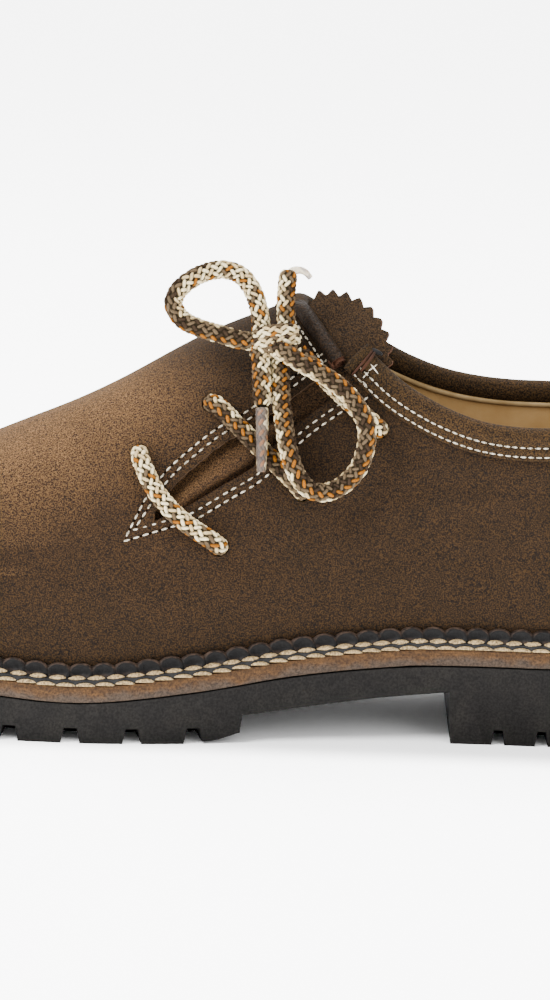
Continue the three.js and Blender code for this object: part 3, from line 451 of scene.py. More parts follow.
def new_object(name, vertices, faces, materials, face_slots=None, attributes=None):
    """Object at the origin from vertices in millimetres."""
    mesh = bpy.data.meshes.new(name)
    mesh.from_pydata((np.asarray(vertices) * MM).tolist(), [], [list(map(int, f)) for f in faces])
    for material in materials:
        mesh.materials.append(material)
    if face_slots is not None:
        mesh.polygons.foreach_set("material_index", np.asarray(face_slots, np.int32))
    for key, values in (attributes or {}).items():
        kind = "FLOAT_COLOR" if np.ndim(values) == 2 else "FLOAT"
        layer = mesh.attributes.new(key, kind, "POINT")
        field = "color" if kind == "FLOAT_COLOR" else "value"
        layer.data.foreach_set(field, np.asarray(values, np.float32).ravel())
    mesh.polygons.foreach_set("use_smooth", np.ones(len(mesh.polygons), bool))
    mesh.update()
    piece = bpy.data.objects.new(name, mesh)
    bpy.context.scene.collection.objects.link(piece)
    return piece


def select_only(piece):
    """Select one piece and make it active."""
    bpy.ops.object.select_all(action="DESELECT")
    piece.select_set(True)
    bpy.context.view_layer.objects.active = piece


def merged(piece):
    """Close the seams of a piece and turn its faces outwards."""
    select_only(piece)
    bpy.ops.object.mode_set(mode="EDIT")
    bpy.ops.mesh.select_all(action="SELECT")
    bpy.ops.mesh.remove_doubles(threshold=WELD)
    bpy.ops.mesh.normals_make_consistent(inside=False)
    bpy.ops.object.mode_set(mode="OBJECT")


def with_modifier(piece, kind, **settings):
    """Add a modifier with its settings and apply it."""
    select_only(piece)
    modifier = piece.modifiers.new(kind.title(), kind)
    for key, value in settings.items():
        setattr(modifier, key, value)
    bpy.ops.object.modifier_apply(modifier=modifier.name)


def dressed(piece, slot, *solids):
    """Hide the solids that a piece stands for, and attach the piece to the root body. The slot is
    not used.
    """
    if solids:
        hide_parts(*solids)
    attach(piece, "root")


def smooth_by_angle(piece, degrees):
    """Shade smooth, with edges sharper than the angle kept."""
    select_only(piece)
    bpy.ops.object.shade_smooth_by_angle(angle=math.radians(degrees))


def bridge_rings(rings, closed_path=False, cap=False):
    """Faces between rings of points that are stacked in one array."""
    count, size = rings.shape[:2]
    faces = []
    for i in range(count if closed_path else count - 1):
        here, there = i * size, ((i + 1) % count) * size
        for j in range(size):
            k = (j + 1) % size
            faces.append((here + j, there + j, there + k, here + k))
    if cap:
        faces.append(tuple(range(size)))
        faces.append(tuple(range((count - 1) * size, count * size))[::-1])
    return faces


def taken_shape(piece):
    """Vertices in millimetres and faces of a modelled piece, which is removed."""
    mesh = piece.data
    vertices = np.array([vertex.co for vertex in mesh.vertices]) / MM
    faces = [tuple(face.vertices) for face in mesh.polygons]
    bpy.data.objects.remove(piece)
    bpy.data.meshes.remove(mesh)
    return vertices, faces


def copies(name, shape, places, along, up, materials, stretch=None):
    """One mesh of copies of a shape, each lying along a direction with its top up."""
    vertices, faces = shape
    along = along / np.linalg.norm(along, axis=1, keepdims=True)
    across = np.cross(up, along)
    across /= np.linalg.norm(across, axis=1, keepdims=True)
    up = np.cross(along, across)
    turn = np.stack([along, across, up], axis=1)
    stretch = np.ones((len(places), 3)) if stretch is None else stretch
    stretched = vertices[None] * stretch[:, None]
    all_vertices = np.einsum("nvk,nkc->nvc", stretched, turn) + places[:, None]
    step = len(vertices)
    all_faces = [tuple(i * step + v for v in face) for i in range(len(places)) for face in faces]
    return new_object(name, all_vertices.reshape(-1, 3), all_faces, materials)


def run_length(points):
    """Length along a line of points at each of them."""
    return np.concatenate([[0], np.cumsum(np.linalg.norm(np.diff(points, axis=0), axis=1))])


def read_at(marks, length, rows):
    """Rows of numbers read at marks of the length."""
    return np.stack([np.interp(marks, length, column) for column in np.transpose(rows)], axis=1)


def even_line(line, step):
    """The line of points cut into even short steps."""
    length = run_length(line)
    return read_at(np.linspace(0, length[-1], int(length[-1] / step) + 1), length, line)


def spaced(points, pitch, start):
    """Places at even distances along a line of points, with the direction of the line there."""
    length = run_length(points)
    marks = np.arange(start, length[-1], pitch)
    ahead, behind = (read_at(marks + side * 0.3, length, points) for side in (1, -1))
    return read_at(marks, length, points), ahead - behind, marks / length[-1]


def on_last(inset=0.0):
    """Places of a sheet that lies on the last, at levels from 0 outside to 2 inside the foot."""
    return lambda s, v: last_point(s, v > 1, np.where(v > 1, 2 - v, v), inset)


def cut_sheet(name, stations, levels, surface, keep, height, materials):
    """Sheet of a surface, with the cells outside keep cut off along its border."""
    s, v = (grid.copy() for grid in np.meshgrid(stations, levels, indexing="ij"))
    left = keep(surface(s, v), v > 1)
    nearest = np.full(s.shape, 9.0)
    moved_s, moved_v = s.copy(), v.copy()
    count = s.shape
    for di, dj in ((1, 0), (0, 1)):
        a = (slice(0, count[0] - di), slice(0, count[1] - dj))
        b = (slice(di, count[0]), slice(dj, count[1]))
        crossing = left[a] * left[b] < 0
        share = np.where(crossing, left[a] / np.where(crossing, left[a] - left[b], 1), 0.5)
        for here, there, reach in ((a, b, share), (b, a, 1 - share)):
            closer = crossing & (reach <= 0.5) & (reach < nearest[here])
            nearest[here] = np.where(closer, reach, nearest[here])
            moved_s[here] = np.where(closer, s[here] + reach * (s[there] - s[here]), moved_s[here])
            moved_v[here] = np.where(closer, v[here] + reach * (v[there] - v[here]), moved_v[here])
    sign = np.where(nearest < 1, 0, np.sign(left)).astype(int)
    point = surface(moved_s, moved_v)
    along, up = np.gradient(point, axis=0), np.gradient(point, axis=1)
    normal = np.cross(along, up)
    normal /= np.maximum(np.linalg.norm(normal, axis=-1, keepdims=True), 1e-9)
    point = point + normal * height(point, moved_v > 1)[..., None]
    index = np.arange(s.size).reshape(s.shape)
    faces = []
    corners = np.stack([index[:-1, :-1], index[1:, :-1], index[1:, 1:], index[:-1, 1:]], axis=-1)
    signs = np.stack([sign[:-1, :-1], sign[1:, :-1], sign[1:, 1:], sign[:-1, 1:]], axis=-1)
    for quad, kept in zip(corners.reshape(-1, 4), signs.reshape(-1, 4)):
        if (kept >= 0).all() and (kept > 0).any():
            faces.append(tuple(quad))
        elif (kept > 0).any():
            for i in range(4):
                tri = [i, (i + 1) % 4, (i + 2) % 4]
                if (kept[tri] >= 0).all() and kept[tri[1]] > 0 and (kept[tri] == 0).sum() == 2:
                    faces.append(tuple(quad[tri]))
    used = np.unique(np.concatenate([np.array(face) for face in faces]))
    renumber = np.zeros(s.size, int)
    renumber[used] = np.arange(len(used))
    faces = [tuple(renumber[list(face)]) for face in faces]
    piece = new_object(name, point.reshape(-1, 3)[used], faces, materials)
    select_only(piece)
    bpy.ops.object.mode_set(mode="EDIT")
    bpy.ops.mesh.select_all(action="SELECT")
    bpy.ops.mesh.remove_doubles(threshold=WELD)
    bpy.ops.object.mode_set(mode="OBJECT")
    return piece


def even_stations(count, start=0.0, end=1.0):
    """Stations spread evenly along the outer wall, measured on its belly."""
    stations = np.linspace(start, end, 400)
    length = run_length(last_point(stations, False, 0.35))
    return np.interp(np.linspace(0, length[-1], count), length, stations)


# Materials

def linear(code):
    """sRGB hex code as linear red, green, blue and alpha."""
    values = [int(code[i:i + 2], 16) / 255 for i in (1, 3, 5)]
    return tuple(v / 12.92 if v <= 0.04045 else ((v + 0.055) / 1.055) ** 2.4 for v in values) + (1,)


def node(tree, kind, inputs=None, **settings):
    """Add a node, make its settings, and set its inputs or link them.

    A node as the value of an input is linked by its first output.
    """
    added = tree.nodes.new(kind)
    for key, value in settings.items():
        setattr(added, key, value)
    for key, value in (inputs or {}).items():
        if isinstance(value, bpy.types.Node):
            value = value.outputs[0]
        if isinstance(value, bpy.types.NodeSocket):
            tree.links.new(value, added.inputs[key])
        else:
            added.inputs[key].default_value = value
    return added


def new_material(name):
    """Material with an empty node tree, returned with that tree."""
    material = bpy.data.materials.new(name)
    material.use_nodes = True
    material.node_tree.nodes.clear()
    return material, material.node_tree


def nubuck(name, dark, middle, worn, gloss=0.1, rough=0.78):
    """Greased brown nubuck, sanded on the grain side: soft, mottled, with a speckled nap.

    Painted highlight on up-facing parts over the toe, partly rubbed wear; painted shade over the
    quarter, high on the instep and low on the wall by the welt.
    """
    material, tree = new_material(name)
    place = node(tree, "ShaderNodeTexCoord").outputs["Object"]
    parts = node(tree, "ShaderNodeSeparateXYZ", {"Vector": place}).outputs
    facing = node(tree, "ShaderNodeNewGeometry").outputs["Normal"]
    upward = node(tree, "ShaderNodeSeparateXYZ", {"Vector": facing}).outputs["Z"]
    clouds = node(tree, "ShaderNodeTexNoise", {
        "Vector": place, "Scale": 1 / (11 * MM), "Detail": 5.0, "Roughness": 0.55,
    })
    # Pores and nap of 0.2 to 0.4 mm, drawn 0.4 to 1 mm coarse so that they show
    pebble = node(tree, "ShaderNodeTexVoronoi", {
        "Vector": place, "Scale": 1 / (0.9 * MM), "Randomness": 1.0,
    }, feature="SMOOTH_F1").outputs["Distance"]
    nap = node(tree, "ShaderNodeTexNoise", {
        "Vector": place, "Scale": 1 / (0.4 * MM), "Detail": 1.0, "Roughness": 0.7,
    })

    # Painted shade: darker towards the heel over the quarter, high on the instep and low on the
    # wall by the welt, laid over the mottled clouds
    quarter_shade = node(tree, "ShaderNodeMapRange", {
        "Value": parts["X"], "From Min": -0.118, "From Max": -0.082, "To Max": 0.62,
    })
    instep_shade = node(tree, "ShaderNodeMapRange", {
        "Value": parts["Z"], "From Min": 0.098, "From Max": 0.112, "To Max": 0.8,
    })
    low_wall_shade = node(tree, "ShaderNodeMapRange", {
        "Value": parts["Z"], "From Min": 0.068, "From Max": 0.032, "To Max": 0.62,
    })
    mottle_and_shade = node(tree, "ShaderNodeMath", {0: quarter_shade, 1: low_wall_shade},
                   operation="MAXIMUM")
    mottle_and_shade = node(tree, "ShaderNodeMath", {0: clouds, 1: 0.9, 2: mottle_and_shade},
                   operation="MULTIPLY_ADD")
    mottle_and_shade = node(tree, "ShaderNodeMapRange", {
        "Value": mottle_and_shade, "From Min": 0.34, "From Max": 1.5,
    })
    colour = node(tree, "ShaderNodeMix", {0: mottle_and_shade, 6: middle, 7: dark},
                  data_type="RGBA").outputs[2]
    # Painted highlight, partly rubbed wear: up-facing parts over the toe turn to the worn colour
    over_toe = node(tree, "ShaderNodeMapRange", {
        "Value": parts["X"], "From Min": -0.092, "From Max": -0.130, "To Min": 0.1,
    })
    rubbed = node(tree, "ShaderNodeMapRange", {
        "Value": upward, "From Min": 0.42, "From Max": 0.85,
    })
    rubbed = node(tree, "ShaderNodeMath", {0: rubbed, 1: over_toe},
                  operation="MULTIPLY")
    colour = node(tree, "ShaderNodeMix", {0: rubbed, 6: colour, 7: worn},
                  data_type="RGBA").outputs[2]
    # Painted shade high on the instep, towards the collar
    colour = node(tree, "ShaderNodeMix", {0: instep_shade, 6: colour, 7: dark},
                  data_type="RGBA").outputs[2]
    speck = node(tree, "ShaderNodeMapRange", {
        "Value": nap, "From Min": 0.38, "From Max": 0.66, "To Min": 0.1, "To Max": 2.2,
    })
    colour = node(tree, "ShaderNodeVectorMath", {0: colour, "Scale": speck},
                  operation="SCALE")

    pores = node(tree, "ShaderNodeBump", {
        "Height": pebble, "Distance": 0.32 * MM, "Strength": 0.85,
    })
    fuzz = node(tree, "ShaderNodeBump", {
        "Height": nap, "Distance": 0.25 * MM, "Strength": 0.9, "Normal": pores,
    })
    dull = node(tree, "ShaderNodeMapRange", {
        "Value": nap, "From Min": 0.3, "From Max": 0.7, "To Min": rough, "To Max": rough + 0.2,
    })
    shader = node(tree, "ShaderNodeBsdfPrincipled", {
        "Base Color": colour, "Roughness": dull, "Normal": fuzz, "Specular IOR Level": gloss,
    })
    node(tree, "ShaderNodeOutputMaterial", {"Surface": shader})
    return material


def smooth_leather(name, base, shade, rough):
    """Vegetable tanned lining or waxed strip: smooth grain with fine pores and a low gloss."""
    material, tree = new_material(name)
    place = node(tree, "ShaderNodeTexCoord").outputs["Object"]
    broad = node(tree, "ShaderNodeTexNoise", {
        "Vector": place, "Scale": 1 / (14 * MM), "Detail": 3.0, "Roughness": 0.6,
    })
    fine = node(tree, "ShaderNodeTexNoise", {
        "Vector": place, "Scale": 1 / (0.9 * MM), "Detail": 3.0, "Roughness": 0.6,
    })
    share = node(tree, "ShaderNodeMapRange", {
        "Value": broad, "From Min": 0.3, "From Max": 0.7,
    })
    colour = node(tree, "ShaderNodeMix", {0: share, 6: shade, 7: base},
                  data_type="RGBA").outputs[2]
    dull = node(tree, "ShaderNodeMapRange", {
        "Value": fine, "From Min": 0.3, "From Max": 0.7, "To Min": rough, "To Max": rough + 0.25,
    })
    pores = node(tree, "ShaderNodeBump", {
        "Height": fine, "Distance": 0.1 * MM, "Strength": 0.7,
    })
    shader = node(tree, "ShaderNodeBsdfPrincipled", {
        "Base Color": colour, "Roughness": dull, "Normal": pores, "Specular IOR Level": 0.18,
    })
    node(tree, "ShaderNodeOutputMaterial", {"Surface": shader})
    return material


def worn_scales(name, base, worn):
    """Waxed black leather scales: a dull gloss, and brown rubbed patches on what stands up."""
    material, tree = new_material(name)
    place = node(tree, "ShaderNodeTexCoord").outputs["Object"]
    patches = node(tree, "ShaderNodeTexNoise", {
        "Vector": place, "Scale": 1 / (1.8 * MM), "Detail": 4.0, "Roughness": 0.7,
    })
    facing = node(tree, "ShaderNodeNewGeometry").outputs["Normal"]
    upward = node(tree, "ShaderNodeSeparateXYZ", {"Vector": facing}).outputs["Z"]
    top = node(tree, "ShaderNodeMapRange", {
        "Value": upward, "From Min": 0.4, "From Max": 0.85,
    })
    patchy = node(tree, "ShaderNodeMapRange", {
        "Value": patches, "From Min": 0.4, "From Max": 0.62, "To Min": 0.1,
    })
    rubbed = node(tree, "ShaderNodeMath", {0: top, 1: patchy}, operation="MULTIPLY")
    colour = node(tree, "ShaderNodeMix", {0: rubbed, 6: base, 7: worn},
                  data_type="RGBA").outputs[2]
    dull = node(tree, "ShaderNodeMapRange", {
        "Value": patches, "From Min": 0.3, "From Max": 0.7, "To Min": 0.4, "To Max": 0.65,
    })
    grain = node(tree, "ShaderNodeBump", {
        "Height": patches, "Distance": 0.35 * MM, "Strength": 0.8,
    })
    shader = node(tree, "ShaderNodeBsdfPrincipled", {
        "Base Color": colour, "Roughness": dull, "Normal": grain, "Specular IOR Level": 0.1,
    })
    node(tree, "ShaderNodeOutputMaterial", {"Surface": shader})
    return material


def cut_edge(name, base, shade, stain):
    """Cut and burnished edge of sole leather: orange brown under the seam, greyed by use below."""
    material, tree = new_material(name)
    place = node(tree, "ShaderNodeTexCoord").outputs["Object"]
    rise = node(tree, "ShaderNodeAttribute", attribute_name="rise").outputs["Fac"]
    flat = node(tree, "ShaderNodeMapping", {
        "Vector": place, "Scale": (0.2, 0.2, 1.0),
    })
    layers = node(tree, "ShaderNodeTexNoise", {
        "Vector": flat, "Scale": 1 / (0.8 * MM), "Detail": 3.0, "Roughness": 0.65,
    })
    clouds = node(tree, "ShaderNodeTexNoise", {
        "Vector": place, "Scale": 1 / (7 * MM), "Detail": 4.0, "Roughness": 0.6,
    })
    fibres = node(tree, "ShaderNodeTexNoise", {
        "Vector": place, "Scale": 1 / (0.7 * MM), "Detail": 2.0, "Roughness": 0.8,
    })
    share = node(tree, "ShaderNodeMapRange", {
        "Value": layers, "From Min": 0.35, "From Max": 0.65,
    })
    colour = node(tree, "ShaderNodeMix", {0: share, 6: shade, 7: base},
                  data_type="RGBA").outputs[2]
    soiled = node(tree, "ShaderNodeMath", {0: clouds, 1: 1.5, 2: rise}, operation="MULTIPLY_ADD")
    soiled = node(tree, "ShaderNodeMapRange", {
        "Value": soiled, "From Min": 1.35, "From Max": 0.95, "To Max": 0.85,
    })
    colour = node(tree, "ShaderNodeMix", {0: soiled, 6: colour, 7: stain},
                  data_type="RGBA").outputs[2]
    speck = node(tree, "ShaderNodeMapRange", {
        "Value": fibres, "From Min": 0.38, "From Max": 0.62, "To Min": 0.55, "To Max": 1.45,
    })
    colour = node(tree, "ShaderNodeVectorMath", {0: colour, "Scale": speck},
                  operation="SCALE")
    rough = node(tree, "ShaderNodeBump", {
        "Height": fibres, "Distance": 0.12 * MM, "Strength": 0.8,
    })
    shader = node(tree, "ShaderNodeBsdfPrincipled", {
        "Base Color": colour, "Roughness": 0.75, "Normal": rough, "Specular IOR Level": 0.15,
    })
    node(tree, "ShaderNodeOutputMaterial", {"Surface": shader})
    return material


def moulded_rubber(name, base, dusty):
    """Moulded sole rubber: matt, nearly black, with a fine spark-eroded skin and pale dust."""
    material, tree = new_material(name)
    place = node(tree, "ShaderNodeTexCoord").outputs["Object"]
    skin = node(tree, "ShaderNodeTexNoise", {
        "Vector": place, "Scale": 1 / (0.7 * MM), "Detail": 3.0, "Roughness": 0.7,
    })
    dust = node(tree, "ShaderNodeTexNoise", {
        "Vector": place, "Scale": 1 / (9 * MM), "Detail": 4.0, "Roughness": 0.6,
    })
    dusted = node(tree, "ShaderNodeMapRange", {
        "Value": dust, "From Min": 0.45, "From Max": 0.75, "To Max": 0.45,
    })
    colour = node(tree, "ShaderNodeMix", {0: dusted, 6: base, 7: dusty},
                  data_type="RGBA").outputs[2]
    speck = node(tree, "ShaderNodeMapRange", {
        "Value": skin, "From Min": 0.38, "From Max": 0.62, "To Min": 0.6, "To Max": 1.4,
    })
    colour = node(tree, "ShaderNodeVectorMath", {0: colour, "Scale": speck},
                  operation="SCALE")
    grain = node(tree, "ShaderNodeBump", {
        "Height": skin, "Distance": 0.08 * MM, "Strength": 0.7,
    })
    shader = node(tree, "ShaderNodeBsdfPrincipled", {
        "Base Color": colour, "Roughness": 0.85, "Normal": grain, "Specular IOR Level": 0.08,
    })
    node(tree, "ShaderNodeOutputMaterial", {"Surface": shader})
    return material


def twisted_thread(name, base, shade):
    """Waxed linen thread: two plies laid together, dull, with a darker line between them."""
    material, tree = new_material(name)
    place = node(tree, "ShaderNodeTexCoord").outputs["Object"]
    plies = node(tree, "ShaderNodeTexNoise", {
        "Vector": place, "Scale": 1 / (0.6 * MM), "Detail": 2.0, "Roughness": 0.7,
    })
    share = node(tree, "ShaderNodeMapRange", {
        "Value": plies, "From Min": 0.35, "From Max": 0.6,
    })
    colour = node(tree, "ShaderNodeMix", {0: share, 6: shade, 7: base},
                  data_type="RGBA").outputs[2]
    laid = node(tree, "ShaderNodeBump", {
        "Height": plies, "Distance": 0.15 * MM, "Strength": 0.9,
    })
    shader = node(tree, "ShaderNodeBsdfPrincipled", {
        "Base Color": colour, "Roughness": 0.85, "Normal": laid, "Specular IOR Level": 0.15,
    })
    node(tree, "ShaderNodeOutputMaterial", {"Surface": shader})
    return material


def braided_yarn(name, film=None):
    """Braided cotton yarn in its own colours, hairy and without gloss, or under a clear film."""
    material, tree = new_material(name)
    place = node(tree, "ShaderNodeTexCoord").outputs["Object"]
    strands = node(tree, "ShaderNodeAttribute", attribute_name="yarn").outputs["Color"]
    fibres = node(tree, "ShaderNodeTexNoise", {
        "Vector": place, "Scale": 1 / (0.35 * MM), "Detail": 2.0, "Roughness": 0.7,
    })
    shade = node(tree, "ShaderNodeMapRange", {
        "Value": fibres, "From Min": 0.35, "From Max": 0.65, "To Min": 0.7, "To Max": 1.15,
    })
    colour = node(tree, "ShaderNodeVectorMath", {0: strands, "Scale": shade},
                  operation="SCALE")
    hair = node(tree, "ShaderNodeBump", {
        "Height": fibres, "Distance": 0.1 * MM, "Strength": 0.8,
    })
    finish = {"Roughness": 0.95, "Specular IOR Level": 0.04}
    if film is not None:
        colour = node(tree, "ShaderNodeMix", {0: 0.45, 6: colour, 7: film},
                      data_type="RGBA").outputs[2]
        finish = {"Roughness": 0.5, "Specular IOR Level": 0.2, "Coat Weight": 0.15}
    shader = node(tree, "ShaderNodeBsdfPrincipled", {
        "Base Color": colour, "Normal": hair, **finish,
    })
    node(tree, "ShaderNodeOutputMaterial", {"Surface": shader})
    return material


def hole_shade(name, base):
    """Painted shade of needle holes: black discs that stand in for the shade inside them."""
    material, tree = new_material(name)
    shader = node(tree, "ShaderNodeBsdfPrincipled", {
        "Base Color": base, "Roughness": 1.0, "Specular IOR Level": 0.0,
    })
    node(tree, "ShaderNodeOutputMaterial", {"Surface": shader})
    return material


def glowing_card(name, base):
    """White studio card with a fine tooth, which glows past the shoe: painted light from its
    emission, though it is no lamp.

    The footprint left without the glow is 292 by 92 mm round a middle 111 mm in front of the heel's
    mount.
    """
    material, tree = new_material(name)
    place = node(tree, "ShaderNodeTexCoord").outputs["Object"]
    tooth = node(tree, "ShaderNodeTexNoise", {
        "Vector": place, "Scale": 1 / (2 * MM), "Detail": 2.0,
    })
    shade = node(tree, "ShaderNodeMapRange", {
        "Value": tooth, "From Min": 0.3, "From Max": 0.7, "To Min": 0.97,
    })
    colour = node(tree, "ShaderNodeVectorMath", {0: base[:3], "Scale": shade},
                  operation="SCALE")
    parts = node(tree, "ShaderNodeSeparateXYZ", {"Vector": place}).outputs
    past_ends = node(tree, "ShaderNodeMath", {0: parts["X"], 1: -0.111}, operation="SUBTRACT")
    past_ends = node(tree, "ShaderNodeMath", {0: past_ends}, operation="ABSOLUTE")
    past_ends = node(tree, "ShaderNodeMath", {0: past_ends, 1: 0.146},
                     operation="SUBTRACT")
    past_sides = node(tree, "ShaderNodeMath", {0: parts["Y"]}, operation="ABSOLUTE")
    past_sides = node(tree, "ShaderNodeMath", {0: past_sides, 1: 0.046},
                      operation="SUBTRACT")
    past = node(tree, "ShaderNodeMath", {0: past_ends, 1: past_sides},
                operation="MAXIMUM")
    # Painted light: the glow rises over 20 mm past the shoe's footprint
    lit = node(tree, "ShaderNodeMapRange", {
        "Value": past, "From Min": 0.0, "From Max": 0.02,
    }, interpolation_type="SMOOTHSTEP")
    glow = node(tree, "ShaderNodeVectorMath", {0: base[:3], "Scale": lit},
                operation="SCALE")
    shader = node(tree, "ShaderNodeBsdfPrincipled", {
        "Base Color": colour, "Roughness": 0.9, "Specular IOR Level": 0.0,
        "Emission Color": glow, "Emission Strength": 4.6,
    })
    node(tree, "ShaderNodeOutputMaterial", {"Surface": shader})
    return material


# Braided lace

# Yarns of the lace, and the columns of flecks round it with four flecks to a repeat
YARNS = {"c": "#a8926a", "w": "#c9b88f", "o": "#754715", "t": "#4c3f2f", "d": "#2b2118"}
CHART = (
    "wwcw", "cwow", "wtwc", "owcw", "cwtw", "wcwo", "twtc",
    "tdtt", "oooo", "tdtd", "dttd", "tdtt", "tctd", "cwcc",
)
FLECK_PITCH = 3.0
FLECK_LENGTH = 2.75
FLECK_WIDTH = 1.2
FLECK_ANGLE = math.radians(46)
LACE_SIDES = 112
LACE_STEP = 0.24
GAP_SHADE = 0.035
# Diameters of the lace pulled tight in the knot and of its two tips, and what the yarns add to it
TIGHT_LACE = 4.6
TIP_DIAMETERS = (3.9, 2.8)
YARN_RELIEF = 0.25
TOWARDS_CAMERA = np.array((0, -0.978, 0.208))
# A direction that no route starts along
NO_ROUTE = (0.13, 0.31, 0.94)


def smooth_route(points, step):
    """Even places along a smooth curve through points."""
    points = np.asarray(points, float)
    fine = catmull_rom(points, np.linspace(0, 1, 40 * len(points)))
    length = run_length(fine)
    count = max(8, int(round(length[-1] / step)))
    return read_at(np.linspace(0, length[-1], count + 1), length, fine)


def travelling_frames(route):
    """Two directions across a route that turn as little as they can."""
    along = np.gradient(route, axis=0)
    along /= np.linalg.norm(along, axis=1, keepdims=True)
    side = np.cross(along[0], NO_ROUTE)
    side /= np.linalg.norm(side)
    sides = [side]
    for direction in along[1:]:
        side = side - (side @ direction) * direction
        side = side / np.linalg.norm(side)
        sides.append(side)
    sides = np.array(sides)
    return sides, np.cross(along, sides)


def braid_surface(turn, run, depth, round_length):
    """Height of the flecks of a braid under its round, and the yarn of each.

    The flecks of a column lean one way and those of the next column the other way.
    """
    codes = np.array([[list(YARNS).index(mark) for mark in marks] for marks in CHART])
    place = len(CHART) * turn
    swell = np.zeros(place.shape)
    yarn = np.zeros(place.shape, int)
    for beside in (-1, 0, 1):
        k = np.floor(place).astype(int) + beside
        across = (place - k - 0.5) * round_length / len(CHART)
        row = run / FLECK_PITCH + 0.5 * (k % 2)
        m = np.floor(row).astype(int)
        ahead = (row - m - 0.5) * FLECK_PITCH
        lean = np.where(k % 2 == 0, 1, -1) * math.sin(FLECK_ANGLE)
        length = across * lean + ahead * math.cos(FLECK_ANGLE)
        width = across * math.cos(FLECK_ANGLE) - ahead * lean
        rise = np.maximum(0, 1 - np.abs(2 * length / FLECK_LENGTH) ** 2.8
                          - np.abs(2 * width / FLECK_WIDTH) ** 2.6) ** 0.45
        yarn = np.where(rise > swell, codes[k % len(CHART), m % 4], yarn)
        swell = np.maximum(swell, rise)
    return depth * (swell - 1), swell, yarn


def braided(name, points, diameter, material, face=0.25, twist=1 / 170, taper=None, depth=0.7,
            shade=1.0):
    """Face is the share of the chart that the photograph's camera sees half way along.
    """
    route = smooth_route(points, LACE_STEP)
    step = np.linalg.norm(route[1] - route[0])
    side, across = travelling_frames(route)
    half = len(route) // 2
    front = math.atan2(across[half] @ TOWARDS_CAMERA, side[half] @ TOWARDS_CAMERA) / (2 * math.pi)
    turns, runs = np.meshgrid(np.arange(LACE_SIDES) / LACE_SIDES, np.arange(len(route)) * step)
    seen = turns - front + face + twist * (runs - runs.max() / 2)
    height, swell, yarn = braid_surface(seen, runs, depth, math.pi * diameter)
    radius = diameter / 2 + height
    if taper is not None:
        radius = radius * taper(runs / runs.max(), runs.max() - runs)
    colour = np.array([linear(code) for code in YARNS.values()])[yarn]
    colour = colour * (GAP_SHADE + (1 - GAP_SHADE) * softly(swell, 0.2, 0.8))[..., None] * shade
    colour[..., 3] = 1
    angle = 2 * math.pi * turns
    ways = (np.cos(angle)[..., None] * side[:, None] + np.sin(angle)[..., None] * across[:, None])
    rings = route[:, None] + radius[..., None] * ways
    piece = new_object(name, rings.reshape(-1, 3), bridge_rings(rings, cap=True), [material],
                       attributes={"yarn": colour.reshape(-1, 4)})
    return piece, (route[::6] * MM).tolist(), float(step * (len(route) - 1)) * MM


def round_end(share, left):
    """Ends of the braid drawn in where its tip begins."""
    return 0.62 + 0.38 * np.sqrt(softly(left, 0, 2.2))


def crossing_points(start, end, rows, bow=(0, 0)):
    """Points of a crossing that dips into its holes."""
    rows = np.array(rows)
    shares = (np.array(start) + rows[:, :1] * (np.array(end) - np.array(start))
              + rows[:, 2:] * np.array(bow))
    station, row = wall_station(side_places(shares))
    point, normal = wall_frame(station, np.zeros(len(rows), bool), row)
    return point + normal * rows[:, 1:2] * (LACE / 2 + CLEARANCE)


# Sizes and colours that a user would change

def length_property(name, description, default, low, high):
    """Length in millimetres that the user can set between low and high."""
    return bpy.props.FloatProperty(
        name=name, description=description, default=default * MM, min=low * MM, max=high * MM,
        unit="LENGTH", precision=4)


class ShoeSizes(bpy.types.PropertyGroup):
    leather: length_property(
        "Leather", "Thickness of the upper's leather with its lining", 2.2, 1.0, 4.0)
    collar_height: length_property(
        "Collar height", "Height of the padded collar outside", SECTION_HEIGHT, 6, 14)
    collar_roll: length_property(
        "Collar roll", "How far the padding stands out of the wall", SECTION_ROLL, 0.5, 4)
    lace: length_property("Lace", "Diameter of the round lace", LACE, 3, 8)
    seam_pitch: length_property(
        "Seam pitch", "Distance from stitch to stitch on the upper", 2.9, 1.5, 5)
    collar_pitch: length_property(
        "Collar seam pitch", "Distance from stitch to stitch on the collar", 2.3, 1.5, 5)
    welt_pitch: length_property(
        "Welt pitch", "Distance from stitch to stitch on the welt", 6.0, 3, 10)


def colour_property(name, description, code):
    """Colour that the user can set, from its sRGB code."""
    return bpy.props.FloatVectorProperty(
        name=name, description=description, subtype="COLOR", size=4, min=0, max=1,
        default=linear(code))


class ShoeColours(bpy.types.PropertyGroup):
    nubuck: colour_property("Nubuck", "Main colour of the upper", "#23170b")
    nubuck_dark: colour_property("Nubuck, dark", "Shaded parts of the upper", "#191006")
    nubuck_worn_and_lit: colour_property("Nubuck, worn", "Rubbed and lit parts of the upper", "#48341f")
    rubber: colour_property("Rubber", "Moulded sole", "#121110")
    sole_leather: colour_property("Sole leather", "Cut edge of the midsole", "#3c2813")
    lining: colour_property("Lining", "Leather inside the shoe", "#634926")
    rand: colour_property("Rand", "Scalloped strip on the welt", "#060505")
    welt_thread: colour_property("Welt thread", "Thick stitches on the welt", "#8f7a58")
    seam_thread: colour_property("Seam thread", "Fine stitches on the upper", "#bdb6a6")


def sizes():
    """Sizes as the user has set them."""
    return bpy.context.scene.shoe_sizes


def colours():
    """Colours as the user has set them."""
    return bpy.context.scene.shoe_colours


# Sole and welt

def loop_shares(count):
    """Shares of the edge's loop at even distances."""
    shares = np.linspace(0, 1, 2400, endpoint=False)
    points, _ = edge_point(shares, np.zeros(len(shares)))
    steps = np.linalg.norm(np.roll(points, -1, axis=0) - points, axis=1)
    length = np.concatenate([[0], np.cumsum(steps)])
    return np.interp(np.linspace(0, length[-1], count, endpoint=False), length,
                     np.append(shares, 1.0))


